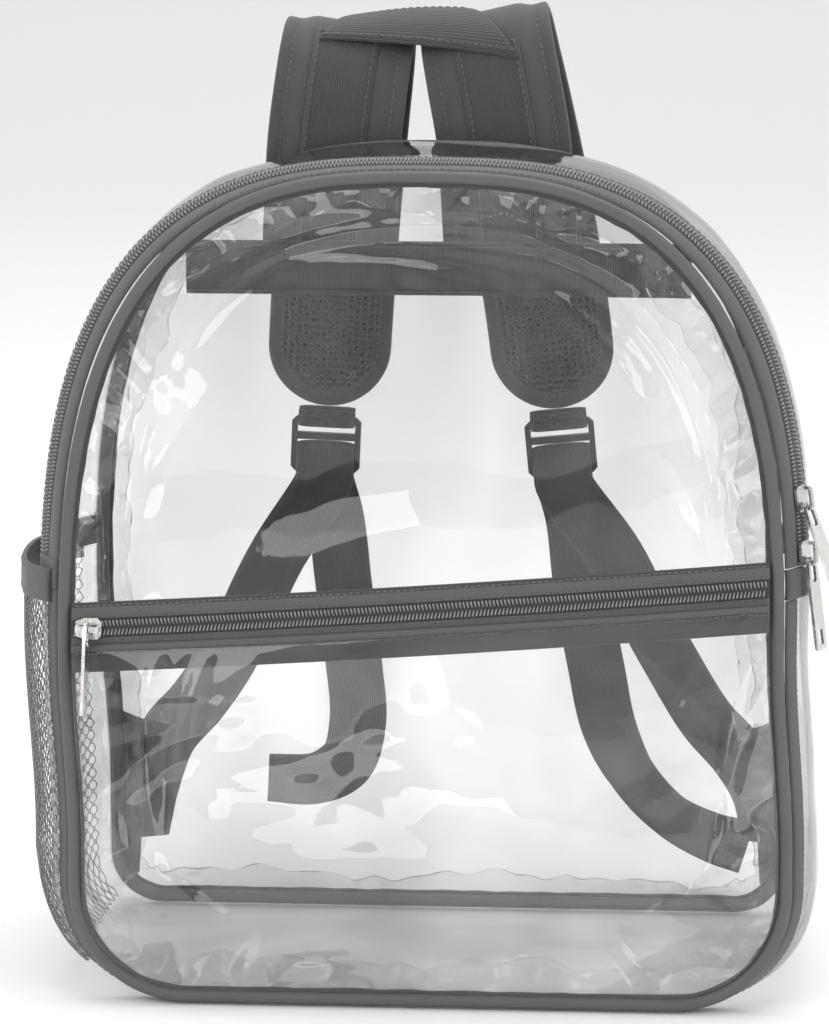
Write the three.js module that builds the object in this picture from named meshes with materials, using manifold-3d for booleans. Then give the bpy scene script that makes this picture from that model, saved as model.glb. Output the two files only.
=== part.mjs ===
// Clear stadium backpack: millimetres, +Z up, front towards -Y, origin on the floor under the bag.
import * as THREE from "three";
import Module from "manifold-3d";
import { mergeVertices } from "three/addons/utils/BufferGeometryUtils.js";

const wasm = await Module();
wasm.setup();

// Body of the bag
const halfWidth = 143.5;          // from the middle to the side piping
const bagHeight = 328;            // from the base piping to the piping on top of the dome
const springHeight = 137;         // straight sides up to here, dome above
const domePower = 2.75;           // roundness of the dome
const frontCornerRadius = 45;
const backCornerRadius = 20;
const baseDepth = 140;
const topDepth = 96;
const sheetThickness = 1;         // clear vinyl
const frontCrown = 6;             // how far the front panel swells
const backCrown = 3;
const sideSwell = 13;             // how far the gusset swells at the sides
const topSwell = 5;
const floorSwell = 4.2;           // pressed flat by the floor
const sway = 4.6;                 // the lower body leans to the right by this much
const swayTop = 145;
const swayBottom = 60;

// Piping, tapes and zips
const pipingRadius = 2.75;
const edgeLift = 3.2;             // piping centre above the floor
const tapeThickness = 1.4;
const tapeWidth = 5.8;
const chainWidth = 6;
const chainThickness = 2.4;
const sideBandBottom = 165;
const sideBandTop = 177;
const pocketZipHeight = 161;      // middle of the pocket zip, half way across
const pocketZipSlope = 0.0725;    // it climbs to the right
const pocketFacingWidth = 14.7;   // lower tape of the pocket zip, partly under the clear sheet
const pocketSheetDrop = 9.3;      // from the middle of the pocket zip to the clear sheet
const pocketSwell = 12;

// Zip sliders and pulls
const sliderLength = 10.5;
const sliderWidth = 8.6;
const sliderPlate = 1.1;
const postWidth = 1.4;
const postLength = 2;
const bailInset = 0.4;            // of the bail's feet from the ends of the slider
const bailWidth = 2.2;
const bailBar = 1.2;
const bailWindow = 3.4;
const pullLength = 38;
const pullWidth = 8;
const pullThickness = 1.3;
const pullEyeRadius = 1.7;
const pullRim = 1.6;
const pullEyeLength = 8.8;
const pullSlotWidth = 3.4;
const pullSlotLength = 6;
const upperSliderHeight = 203;
const lowerSliderHeight = 182;
const pocketSliderInset = 11;     // from the side piping
const zipReach = 8;               // of zip on either side of a slider that sets its direction
const pullCorner = 1;
const pullSlotMargin = 2.2;       // from the end of the pull to its slot
const upperPullTilt = 14;         // degrees that each pull stands off at rest
const lowerPullTilt = 3;
const pocketPullTilt = 9;

// Net pocket on the side
const netThickness = 1;
const netSwell = 8;
const netFootHeight = 19;
const netBindingBottom = 160;
const netBindingTop = 173;
const netBindingThickness = 1.8;

// Straps
const webbingThickness = 1.6;
const backBandHeight = 279;
const backBandWidth = 23;
const padThickness = 6;
const padEdgeThickness = 3;
const padBorder = 9;
const padWidth = 57;
const padEndWidth = 53;
const padEndHeight = 211;
const strapReach = 44;            // how far the strap's rear run hangs behind its front run
const leftPad = { side: -1, rootX: -47, topX: -38.7, endX: -51, topHeight: 376, roll: 9 };
const rightPad = { side: 1, rootX: 31, topX: 17.5, endX: 49, topHeight: 381, roll: 13 };
const handleWidth = 27;
const adjusterWidth = 25;
const lockWidth = 30;
const lockHeight = 24;
const lockThickness = 4;
const lockBar = 3;
const lockRim = 2.4;
const lockCorner = 2;
const lockDrop = 17;              // lock's middle below the end of the pad
const loopWidth = 24.4;
const loopThickness = 1.4;
const loopCorner = 1.5;
const turnLength = 12;            // of webbing on either side of the lock's bar
const turnRise = 3.9;             // of the webbing's fold over the bar
const turnSpread = 1.2;
const tabTop = 85;
const tabWidth = 17;
const tabBottom = 9;
const tabSlant = 6;
const tabCorner = 3;

// Clearances
const gap = 0.3;                  // between pieces that touch
const seamGap = 0.4;              // between tapes beside each other
const panelGap = 0.6;             // from the piping to a sheet sewn into it

const backY = baseDepth / 2;
const panelInset = pipingRadius + panelGap;
const tapeStart = pipingRadius + gap;
const chainStart = tapeStart + tapeWidth + seamGap;
const rearTapeStart = chainStart + chainWidth + seamGap;
const upperSheetStart = rearTapeStart + tapeWidth + seamGap;

const vinyl = { color: 0xe9eaeb, roughness: 0.12, metalness: 0, transparent: true, opacity: 0.35 };
const piping = { color: 0x6a6a6a, roughness: 0.7, metalness: 0 };
const tape = { color: 0x646464, roughness: 0.85, metalness: 0 };
const coil = { color: 0x4c4c4c, roughness: 0.5, metalness: 0 };
const nickel = { color: 0xd8d6d2, roughness: 0.22, metalness: 1 };
const net = { color: 0x8e8e8e, roughness: 0.9, metalness: 0 };
const webbing = { color: 0x4e4e4e, roughness: 0.85, metalness: 0 };
const padding = { color: 0x5a5a5a, roughness: 0.9, metalness: 0 };
const plastic = { color: 0x3c3c3c, roughness: 0.45, metalness: 0 };

const group = new THREE.Group();
const lerp = THREE.MathUtils.lerp;
const radians = THREE.MathUtils.degToRad;

// The lower body leans to one side, so every soft piece passes through here
function settled(geometry) {
  const spots = geometry.getAttribute("position");
  for (let i = 0; i < spots.count; i += 1) {
    const down = 1 - THREE.MathUtils.smoothstep(spots.getZ(i), swayBottom, swayTop);
    spots.setX(i, spots.getX(i) + sway * down);
  }
  return geometry;
}

function addPiece(name, geometry, finish) {
  const mesh = new THREE.Mesh(geometry, new THREE.MeshStandardMaterial(finish));
  mesh.name = name;
  group.add(mesh);
  return mesh;
}

function addSoft(name, geometry, finish) {
  return addPiece(name, settled(geometry), finish);
}

function signedVolume(points, faces) {
  let volume = 0;
  for (let i = 0; i < faces.length; i += 3) {
    const [a, b, c] = [points[faces[i]], points[faces[i + 1]], points[faces[i + 2]]];
    volume += a.dot(new THREE.Vector3().crossVectors(b, c)) / 6;
  }
  return volume;
}

function solidFrom(points, faces) {
  const geometry = new THREE.BufferGeometry();
  geometry.setFromPoints(points);
  const inward = signedVolume(points, faces) < 0;
  const order = [];
  for (let i = 0; i < faces.length; i += 3) {
    const [a, b, c] = faces.slice(i, i + 3);
    order.push(a, inward ? c : b, inward ? b : c);
  }
  geometry.setIndex(order);
  return geometry;
}

// A solid skinned over rows, each with the points of its outer face and of its inner face
function slab(rows, closed = false) {
  const across = rows[0].outer.length;
  const ring = 2 * across;
  const points = rows.flatMap((row) => [...row.outer, ...row.inner.slice().reverse()]);
  const faces = [];
  const spans = closed ? rows.length : rows.length - 1;
  for (let r = 0; r < spans; r += 1) {
    const here = r * ring;
    const next = ((r + 1) % rows.length) * ring;
    for (let k = 0; k < ring; k += 1) {
      const m = (k + 1) % ring;
      faces.push(here + k, here + m, next + m, here + k, next + m, next + k);
    }
  }
  if (!closed) {
    const last = (rows.length - 1) * ring;
    for (let k = 0; k < across - 1; k += 1) {
      const far = ring - 1 - k;
      faces.push(k, far, far - 1, k, far - 1, k + 1);
      faces.push(last + k, last + far - 1, last + far, last + k, last + k + 1, last + far - 1);
    }
  }
  return solidFrom(points, faces);
}

// Outline of the bag seen from the front, once round from the middle of the base
class BagOutline extends THREE.Curve {
  constructor(cornerRadius) {
    super();
    this.cornerRadius = cornerRadius;
    this.arcLengthDivisions = 1200;
  }

  getPoint(t, target = new THREE.Vector3()) {
    const side = t > 0.5 ? -1 : 1;
    const way = 4 * (t > 0.5 ? 1 - t : t);
    const r = this.cornerRadius;
    if (way < 0.5) {
      return target.set(side * (halfWidth - r) * way * 2, 0, edgeLift);
    }
    if (way < 0.8) {
      const angle = ((way - 0.5) / 0.3) * (Math.PI / 2);
      const x = halfWidth - r + r * Math.sin(angle);
      return target.set(side * x, 0, edgeLift + r - r * Math.cos(angle));
    }
    if (way < 1) {
      return target.set(side * halfWidth, 0, edgeLift + lerp(r, springHeight, (way - 0.8) / 0.2));
    }
    const angle = (way - 1) * (Math.PI / 2);
    const reach = (Math.cos(angle) ** domePower + Math.sin(angle) ** domePower) ** (-1 / domePower);
    const x = halfWidth * reach * Math.cos(angle);
    return target.set(side * x, 0, edgeLift + springHeight
      + (bagHeight - springHeight) * reach * Math.sin(angle));
  }
}

const frontOutline = new BagOutline(frontCornerRadius);
const backOutline = new BagOutline(backCornerRadius);

function halfWidthAt(z) {
  const up = Math.max(0, (z - edgeLift - springHeight) / (bagHeight - springHeight));
  return halfWidth * (1 - Math.min(1, up) ** domePower) ** (1 / domePower);
}

function outwardAt(outline, turn) {
  const way = outline.getTangentAt(((turn % 1) + 1) % 1);
  return new THREE.Vector3(way.z, 0, -way.x);
}

// Stops round the outline, close together where it bends
function outlineStops() {
  const stops = [0];
  const step = 1 / 600;
  let last = outwardAt(frontOutline, 0);
  for (let turn = step; turn < 1 - step; turn += step) {
    const here = outwardAt(frontOutline, turn);
    const far = turn - stops[stops.length - 1];
    if (here.angleTo(last) > radians(9) || far > 0.032) {
      stops.push(turn);
      last = here;
    }
  }
  return stops;
}

const allStops = outlineStops();

function stopsBetween(from, to) {
  const margin = 0.002;
  const laps = [...allStops, ...allStops.map((stop) => stop + 1)];
  return [from, ...laps.filter((stop) => stop > from + margin && stop < to - margin), to];
}

// Share of the way round at which the right-hand side reaches a height
function turnAt(height) {
  let [low, high] = [0, 0.5];
  for (let i = 0; i < 40; i += 1) {
    const middle = (low + high) / 2;
    if (frontOutline.getPointAt(middle).z < height) low = middle;
    else high = middle;
  }
  return low;
}

function frontY(z) {
  return -baseDepth / 2 + (baseDepth - topDepth) * (z - edgeLift) / bagHeight;
}

// Swell of the gusset across its depth, as shares of the depth and of the full swell
const gussetSection = [
  { depth: 0, swell: 0 },
  { depth: 0.05, swell: 0.46 },
  { depth: 0.13, swell: 0.86 },
  { depth: 0.2, swell: 0.96 },
  { depth: 0.33, swell: 1 },
  { depth: 0.6, swell: 1 },
  { depth: 0.8, swell: 0.82 },
  { depth: 0.93, swell: 0.4 },
  { depth: 1, swell: 0 },
];

function shareOfSwell(depth) {
  const spot = THREE.MathUtils.clamp(depth, 0, 1);
  const after = Math.max(1, gussetSection.findIndex((row) => row.depth >= spot));
  const [a, b] = [gussetSection[after - 1], gussetSection[after]];
  return lerp(a.swell, b.swell, (spot - a.depth) / (b.depth - a.depth));
}

function depthAt(turn) {
  return backY - frontY(frontOutline.getPointAt(((turn % 1) + 1) % 1).z);
}

// A point in the middle of the gusset's thickness, run millimetres behind the front edge
function gussetPoint(turn, run, lift = 0, thickness = sheetThickness) {
  const lap = ((turn % 1) + 1) % 1;
  const front = frontOutline.getPointAt(lap);
  const back = backOutline.getPointAt(lap);
  const share = run / depthAt(turn);
  const out = outwardAt(frontOutline, lap).lerp(outwardAt(backOutline, lap), share).normalize();
  const sides = sideSwell * Math.abs(out.x) ** 1.5;
  const ends = topSwell * Math.max(0, out.z) + floorSwell * Math.max(0, -out.z) ** 2;
  const spot = front.clone().lerp(back, share);
  spot.y = frontY(front.z) + run;
  spot.addScaledVector(out, (sides + ends) * shareOfSwell(share) + lift);
  spot.z = Math.max(spot.z, thickness / 2);
  return spot;
}

// A row of gusset points from one run to another, with its two faces
function gussetRow(turn, runs, thickness, liftAt = () => 0) {
  const step = 0.002;
  const row = { outer: [], inner: [] };
  runs.forEach((run, k) => {
    const lift = liftAt(turn, k / (runs.length - 1));
    const spot = gussetPoint(turn, run, lift, thickness);
    const along = gussetPoint(turn + step, run, lift, thickness)
      .sub(gussetPoint(turn - step, run, lift, thickness));
    const first = gussetPoint(turn, runs[Math.max(0, k - 1)], lift, thickness);
    const second = gussetPoint(turn, runs[Math.min(runs.length - 1, k + 1)], lift, thickness);
    const normal = second.sub(first).cross(along).normalize().multiplyScalar(thickness / 2);
    const outer = spot.clone().add(normal);
    const inner = spot.clone().sub(normal);
    outer.z = Math.max(outer.z, 0);
    inner.z = Math.max(inner.z, thickness);
    row.outer.push(outer);
    row.inner.push(inner);
  });
  return row;
}

function runsBetween(turn, start, end) {
  const depth = depthAt(turn);
  const limit = depth - end;
  const [first, last] = [gussetSection[1].depth, gussetSection.at(-2).depth];
  const middle = gussetSection.slice(1, -1).map((row) => {
    const place = lerp(0.05, 0.95, (row.depth - first) / (last - first));
    return lerp(start, limit, place);
  });
  return [start, ...middle, limit];
}

function gussetSheet(from, to, start, end, thickness, liftAt) {
  const rows = stopsBetween(from, to)
    .map((turn) => gussetRow(turn, runsBetween(turn, start, end), thickness, liftAt));
  return slab(rows);
}

function gussetStrip(from, to, start, width, thickness) {
  return slab(stopsBetween(from, to)
    .map((turn) => gussetRow(turn, [start, start + width], thickness)));
}

// Round piping along an edge of the bag
function pipingRing(outline, yAt) {
  const sides = 6;
  const rows = allStops.map((turn) => {
    const spot = outline.getPointAt(turn);
    const out = outwardAt(outline, turn);
    spot.y = yAt(spot.z);
    const ring = [];
    for (let k = 0; k < sides; k += 1) {
      const angle = (k / sides) * 2 * Math.PI;
      ring.push(spot.clone().addScaledVector(out, pipingRadius * Math.cos(angle))
        .add(new THREE.Vector3(0, pipingRadius * Math.sin(angle), 0)));
    }
    return { outer: ring.slice(0, sides / 2), inner: ring.slice(sides / 2).reverse() };
  });
  return slab(rows, true);
}

// 1 at the outline and 0 in the middle of a panel
function edgeShare(x, z, cornerRadius) {
  const up = z - edgeLift - springHeight;
  const lowerPower = Math.log(0.5) / Math.log(1 - 0.29 * cornerRadius / springHeight);
  const power = up > 0 ? domePower : lowerPower;
  const reach = up > 0 ? bagHeight - springHeight : springHeight;
  return (Math.abs(x / halfWidth) ** power + Math.abs(up / reach) ** power) ** (1 / power);
}

// Soft dents pressed into the front panel, as shares of the half width, height and crown
const frontDents = [
  { across: -0.35, up: 0.9, reach: 0.3, depth: 0.8 },
  { across: 0.3, up: 0.91, reach: 0.26, depth: 0.9 },
  { across: -0.78, up: 0.66, reach: 0.22, depth: 0.7 },
  { across: 0.8, up: 0.62, reach: 0.24, depth: 0.8 },
  { across: 0.1, up: 0.72, reach: 0.3, depth: 0.35 },
  { across: -0.4, up: 0.1, reach: 0.3, depth: 0.6 },
  { across: 0.55, up: 0.12, reach: 0.3, depth: 0.5 },
];

function dentAt(x, z) {
  return frontDents.reduce((sum, row) => {
    const dx = x - row.across * halfWidth;
    const dz = z - edgeLift - row.up * bagHeight;
    const reach = row.reach * halfWidth;
    return sum + row.depth * frontCrown * Math.exp(-(dx * dx + dz * dz) / (reach * reach));
  }, 0);
}

function frontSwell(x, z) {
  return frontCrown * Math.max(0, 1 - edgeShare(x, z, frontCornerRadius) ** 2);
}

// Outer face of the front panel without its dents, with lift millimetres before it
function frontLayer(x, z, lift) {
  return new THREE.Vector3(x, frontY(z) - frontSwell(x, z) - lift, z);
}

function backFace(x, z) {
  return backY + sheetThickness + backCrown * Math.max(0, 1 - edgeShare(x, z, backCornerRadius) ** 2);
}

// A whole panel in columns from its lower to its upper edge
function panel(cornerRadius, outerY, innerY) {
  const columns = 24;
  const levels = 11;
  const reach = halfWidth - panelInset;
  const radius = cornerRadius - panelInset;
  const base = edgeLift + panelInset;
  const rows = [];
  for (let i = 0; i <= columns; i += 1) {
    const x = reach * Math.sin(lerp(-Math.PI / 2, Math.PI / 2, i / columns));
    const intoCorner = Math.min(radius, Math.max(0, Math.abs(x) - (reach - radius)));
    const low = base + radius - Math.sqrt(radius ** 2 - intoCorner ** 2);
    const share = Math.min(1, Math.abs(x) / reach);
    const rise = (1 - share ** domePower) ** (1 / domePower);
    const high = edgeLift + springHeight + (bagHeight - springHeight - panelInset) * rise;
    const row = { outer: [], inner: [] };
    for (let j = 0; j <= levels; j += 1) {
      const z = lerp(low, high, 0.5 - 0.5 * Math.cos(Math.PI * (j / levels)));
      row.outer.push(new THREE.Vector3(x, outerY(x, z), z));
      row.inner.push(new THREE.Vector3(x, innerY(x, z), z));
    }
    rows.push(row);
  }
  return slab(rows);
}

function frontPanelFace(x, z) {
  const fade = Math.max(0, 1 - edgeShare(x, z, frontCornerRadius) ** 8);
  return frontLayer(x, z, 0).y + dentAt(x, z) * fade;
}

addSoft("front_panel", panel(
  frontCornerRadius,
  frontPanelFace,
  (x, z) => frontPanelFace(x, z) + sheetThickness,
), vinyl);

addSoft("back_panel", panel(
  backCornerRadius,
  backFace,
  (x, z) => backFace(x, z) - sheetThickness,
), vinyl);

addSoft("front_piping", pipingRing(frontOutline, frontY), piping);
addSoft("back_piping", pipingRing(backOutline, () => backY), piping);

// Gusset: clear sheets, tapes and main zip
const bandLow = turnAt(sideBandBottom);
const bandHigh = turnAt(sideBandTop);
const turnGap = 0.0004;
const zipFrom = bandHigh + turnGap;
const zipTo = 1 - bandHigh - turnGap;
const lowerFrom = 1 - bandLow + turnGap;
const lowerTo = 1 + bandLow - turnGap;

addSoft("gusset_upper", gussetSheet(zipFrom, zipTo, upperSheetStart, tapeStart, sheetThickness), vinyl);
addSoft("gusset_lower", gussetSheet(
  lowerFrom,
  lowerTo,
  chainStart,
  tapeStart,
  sheetThickness,
), vinyl);
addSoft("lower_edge_tape", gussetStrip(lowerFrom, lowerTo, tapeStart, tapeWidth, tapeThickness), tape);
addSoft("side_band_right", gussetSheet(bandLow, bandHigh, tapeStart, tapeStart, tapeThickness), tape);
addSoft("side_band_left", gussetSheet(1 - bandHigh, 1 - bandLow, tapeStart, tapeStart, tapeThickness), tape);
addSoft("main_zip_tape_front", gussetStrip(zipFrom, zipTo, tapeStart, tapeWidth, tapeThickness), tape);
addSoft("main_zip_tape_rear", gussetStrip(zipFrom, zipTo, rearTapeStart, tapeWidth, tapeThickness), tape);

function toManifold(geometry) {
  const bare = geometry.clone();
  bare.deleteAttribute("normal");
  bare.deleteAttribute("uv");
  const merged = mergeVertices(bare, 1e-4);
  return new wasm.Manifold(new wasm.Mesh({
    numProp: 3,
    vertProperties: Float32Array.from(merged.getAttribute("position").array),
    triVerts: Uint32Array.from(merged.getIndex().array),
  }));
}

function fromManifold(solid) {
  const mesh = solid.getMesh();
  const geometry = new THREE.BufferGeometry();
  geometry.setAttribute("position", new THREE.BufferAttribute(Float32Array.from(mesh.vertProperties), 3));
  geometry.setIndex(Array.from(mesh.triVerts));
  return geometry;
}

function union(parts) {
  return fromManifold(parts.map(toManifold).reduce((sum, part) => sum.add(part)));
}

function block(x0, x1, y0, y1, z0, z1) {
  const box = new THREE.BoxGeometry(x1 - x0, y1 - y0, z1 - z0);
  return box.translate((x0 + x1) / 2, (y0 + y1) / 2, (z0 + z1) / 2);
}

// Slider: X across the zip, Y along it, Z out of it, around a chain through the origin
const plateLow = chainThickness / 2 + gap;
const plateHigh = plateLow + sliderPlate;
const barLow = plateHigh + bailWindow;
const barHigh = barLow + bailBar;
const postY = sliderLength * 0.22;

function sliderPlateShape() {
  const [w, l] = [sliderWidth / 2, sliderLength / 2];
  return new THREE.Shape([
    new THREE.Vector2(-w * 0.72, -l),
    new THREE.Vector2(w * 0.72, -l),
    new THREE.Vector2(w, -l * 0.3),
    new THREE.Vector2(w, l * 0.7),
    new THREE.Vector2(w * 0.6, l),
    new THREE.Vector2(-w * 0.6, l),
    new THREE.Vector2(-w, l * 0.7),
    new THREE.Vector2(-w, -l * 0.3),
  ]);
}

function sliderSolid() {
  const flat = { depth: sliderPlate, bevelEnabled: false };
  const top = new THREE.ExtrudeGeometry(sliderPlateShape(), flat).translate(0, 0, plateLow);
  const bottom = new THREE.ExtrudeGeometry(sliderPlateShape(), flat).translate(0, 0, -plateHigh);
  const post = block(-postWidth / 2, postWidth / 2, postY - postLength / 2, postY + postLength / 2,
    -plateHigh + gap, plateHigh - gap);
  const foot = sliderLength / 2 - bailInset;
  const arch = new THREE.Shape([
    new THREE.Vector2(-foot, plateHigh - gap),
    new THREE.Vector2(-foot, barHigh - bailBar),
    new THREE.Vector2(-foot + bailBar, barHigh),
    new THREE.Vector2(foot - bailBar, barHigh),
    new THREE.Vector2(foot, barHigh - bailBar),
    new THREE.Vector2(foot, plateHigh - gap),
    new THREE.Vector2(foot - bailBar, plateHigh - gap),
    new THREE.Vector2(foot - bailBar, barLow),
    new THREE.Vector2(-foot + bailBar, barLow),
    new THREE.Vector2(-foot + bailBar, plateHigh - gap),
  ]);
  const bail = new THREE.ExtrudeGeometry(arch, { depth: bailWidth, bevelEnabled: false });
  bail.translate(0, 0, -bailWidth / 2);
  bail.rotateX(Math.PI / 2).rotateZ(Math.PI / 2);
  return union([top, bottom, post, bail]);
}

// Pull: hangs along -Y from the middle of its rim, flat in X and Y
function pullSolid() {
  const head = pullEyeRadius + pullRim;
  const wide = pullWidth / 2;
  const end = pullRim / 2 - pullLength;
  const shape = new THREE.Shape();
  const top = pullRim / 2 - head;
  shape.moveTo(-head, top);
  shape.absarc(0, top, head, Math.PI, 0, true);
  shape.lineTo(wide, top - head * 2);
  shape.lineTo(wide, end + pullCorner);
  shape.lineTo(wide - pullCorner, end);
  shape.lineTo(pullCorner - wide, end);
  shape.lineTo(-wide, end + pullCorner);
  shape.lineTo(-wide, top - head * 2);
  shape.closePath();
  const eye = new THREE.Path();
  eye.absarc(0, top, pullEyeRadius, 0, Math.PI, false);
  eye.absarc(0, top - pullEyeLength + 2 * pullEyeRadius, pullEyeRadius, Math.PI, 2 * Math.PI, false);
  const low = end + pullSlotMargin;
  const slot = new THREE.Path([
    new THREE.Vector2(-pullSlotWidth / 2, low),
    new THREE.Vector2(pullSlotWidth / 2, low),
    new THREE.Vector2(pullSlotWidth / 2, low + pullSlotLength),
    new THREE.Vector2(-pullSlotWidth / 2, low + pullSlotLength),
  ]);
  shape.holes.push(eye, slot);
  const plate = new THREE.ExtrudeGeometry(shape, {
    depth: pullThickness, bevelEnabled: false, curveSegments: 5,
  });
  return plate.translate(0, 0, -pullThickness / 2);
}

// Places of the sliders: a frame of across, along and outward directions on the zip
function frameMatrix(origin, across, along) {
  const x = across.clone().normalize();
  const z = x.clone().cross(along).normalize();
  const y = z.clone().cross(x);
  return new THREE.Matrix4().makeBasis(x, y, z).setPosition(origin);
}

function mainZipFrame(height) {
  const turn = turnAt(height);
  const stops = stopsBetween(zipFrom, zipTo);
  const after = stops.findIndex((stop) => stop > turn);
  const ends = [stops[after - 1], stops[after]].map((stop) => ({
    front: gussetPoint(stop, chainStart),
    rear: gussetPoint(stop, chainStart + chainWidth),
  }));
  const share = (turn - stops[after - 1]) / (stops[after] - stops[after - 1]);
  const front = ends[0].front.clone().lerp(ends[1].front, share);
  const rear = ends[0].rear.clone().lerp(ends[1].rear, share);
  const along = ends[1].front.clone().add(ends[1].rear).sub(ends[0].front).sub(ends[0].rear);
  return frameMatrix(front.clone().add(rear).multiplyScalar(0.5), rear.sub(front), along);
}

function pocketZipZ(x) {
  return pocketZipHeight + pocketZipSlope * x;
}

const pocketTapeLift = gap + tapeThickness / 2;
const pocketChainLift = gap + chainThickness / 2 + sliderPlate + gap;
const pocketReach = halfWidthAt(pocketZipHeight) - panelInset;

// A strip of the pocket zip between two heights measured from the middle of its chain, each
// with its lift before the front panel
function pocketStrip(from, to, fromLift, toLift, thickness) {
  const steps = 16;
  const rows = [];
  for (let i = 0; i <= steps; i += 1) {
    const x = lerp(-pocketReach, pocketReach, i / steps);
    const row = { outer: [], inner: [] };
    for (const [off, lift] of [[from, fromLift], [to, toLift]]) {
      row.outer.push(frontLayer(x, pocketZipZ(x) + off, lift + thickness / 2));
      row.inner.push(frontLayer(x, pocketZipZ(x) + off, lift - thickness / 2));
    }
    rows.push(row);
  }
  return slab(rows);
}

function pocketZipFrame(x) {
  const origin = frontLayer(x, pocketZipZ(x), pocketChainLift);
  const left = frontLayer(x - zipReach, pocketZipZ(x - zipReach), pocketChainLift);
  const right = frontLayer(x + zipReach, pocketZipZ(x + zipReach), pocketChainLift);
  const low = frontLayer(x, pocketZipZ(x) - chainWidth / 2, pocketChainLift);
  const high = frontLayer(x, pocketZipZ(x) + chainWidth / 2, pocketChainLift);
  return frameMatrix(origin, low.sub(high), right.sub(left));
}

const sliderFrames = {
  upper: mainZipFrame(upperSliderHeight),
  lower: mainZipFrame(lowerSliderHeight),
  pocket: pocketZipFrame(-halfWidth + pocketSliderInset),
};

function withPostNotches(chain, frames) {
  const room = 2 * gap;
  const notch = block(-postWidth / 2 - gap, postWidth / 2 + gap, postY - postLength / 2 - gap,
    postY + postLength / 2 + gap, -chainThickness - room, chainThickness + room);
  return fromManifold(frames.reduce(
    (solid, frame) => solid.subtract(toManifold(notch.clone().applyMatrix4(frame))),
    toManifold(chain),
  ));
}

addSoft("main_zip_chain", withPostNotches(
  gussetStrip(zipFrom, zipTo, chainStart, chainWidth, chainThickness),
  [sliderFrames.upper, sliderFrames.lower],
), coil);

const halfChain = chainWidth / 2;
addSoft("pocket_zip_chain", withPostNotches(
  pocketStrip(-halfChain, halfChain, pocketChainLift, pocketChainLift, chainThickness),
  [sliderFrames.pocket],
), coil);
addSoft("pocket_zip_tape_upper", pocketStrip(
  halfChain + seamGap,
  halfChain + seamGap + tapeWidth,
  pocketChainLift,
  pocketTapeLift,
  tapeThickness,
), tape);
addSoft("pocket_zip_tape_lower", pocketStrip(
  -halfChain - seamGap - pocketFacingWidth,
  -halfChain - seamGap,
  pocketTapeLift,
  pocketChainLift,
  tapeThickness,
), tape);

function placeHard(name, geometry, matrix, finish) {
  const mesh = addPiece(name, geometry, finish);
  mesh.applyMatrix4(matrix);
  return mesh;
}

placeHard("main_slider_upper", sliderSolid(), sliderFrames.upper, nickel);
placeHard("main_slider_lower", sliderSolid(), sliderFrames.lower, nickel);
placeHard("pocket_slider", sliderSolid(), sliderFrames.pocket, nickel);

// The main pulls' rims lie in the bail's window and turn about the line across the zip
const rimHeight = plateHigh + bailWindow / 2;
const rimY = bailBar + pullRim - sliderLength / 2 + gap;

function mainPullMatrix(frame, tilt) {
  const turn = new THREE.Matrix4().makeRotationX(radians(-tilt));
  return frame.clone().multiply(new THREE.Matrix4().makeTranslation(0, rimY, rimHeight)).multiply(turn);
}

placeHard("main_pull_upper", pullSolid(), mainPullMatrix(sliderFrames.upper, upperPullTilt), nickel);
placeHard("main_pull_lower", pullSolid(), mainPullMatrix(sliderFrames.lower, lowerPullTilt), nickel);

// The pocket pull hangs edge on from the bail's bar and turns about the bar
function pocketPullMatrix(frame, tilt) {
  const drop = pullRim / 2 + pullEyeRadius;
  const eye = new THREE.Matrix4().makeTranslation(0, drop, 0);
  const edgeOn = new THREE.Matrix4().makeRotationX(Math.PI / 2).multiply(
    new THREE.Matrix4().makeRotationZ(Math.PI / 2),
  );
  const swing = new THREE.Matrix4().makeRotationY(radians(-tilt));
  const bar = new THREE.Matrix4().makeTranslation(0, 0, (barLow + barHigh) / 2);
  return frame.clone().multiply(bar).multiply(swing).multiply(edgeOn).multiply(eye);
}

placeHard("pocket_pull", pullSolid(), pocketPullMatrix(sliderFrames.pocket, pocketPullTilt), nickel);

// Front pocket: rows from its lower to its upper edge, as shares of its height
const pocketRows = [0, 0.02, 0.07, 0.15, 0.28, 0.46, 0.66, 0.85, 0.95, 1];

function pocketSheet() {
  const columns = 20;
  const reach = halfWidth - panelInset;
  const radius = frontCornerRadius - panelInset;
  const base = edgeLift + panelInset;
  const rows = pocketRows.map((share) => {
    const rise = share * (pocketZipHeight - pocketSheetDrop - base);
    const short = Math.max(0, radius - rise);
    const half = reach - radius + Math.sqrt(radius ** 2 - short ** 2);
    const row = { outer: [], inner: [] };
    for (let i = 0; i <= columns; i += 1) {
      const x = half * Math.sin(lerp(-Math.PI / 2, Math.PI / 2, i / columns));
      const z = lerp(base, pocketZipZ(x) - pocketSheetDrop, share);
      const side = Math.max(0, 1 - Math.abs(x / half) ** 5);
      const belly = pocketSwell * Math.sin(Math.PI * share ** 0.9) ** 0.8 * side;
      const seat = lerp(pocketTapeLift, pocketChainLift, share) + tapeThickness / 2 + gap;
      const lift = seat + belly;
      row.outer.push(frontLayer(x, z, lift + sheetThickness));
      row.inner.push(frontLayer(x, z, lift));
    }
    return row;
  });
  return slab(rows);
}

addSoft("front_pocket_sheet", pocketSheet(), vinyl);

// Net pocket on the left, outside the gusset, with its bound mouth
function netLift(turn, share) {
  const down = turn - (1 - turnAt(netBindingTop));
  const length = 1 - turnAt(netFootHeight) - (1 - turnAt(netBindingTop));
  const fade = Math.min(1, (1 - down / length) * 4);
  const apart = sheetThickness / 2 + gap + netThickness;
  return apart + netSwell * fade * Math.sin(Math.PI * share) ** 0.7;
}

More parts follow.
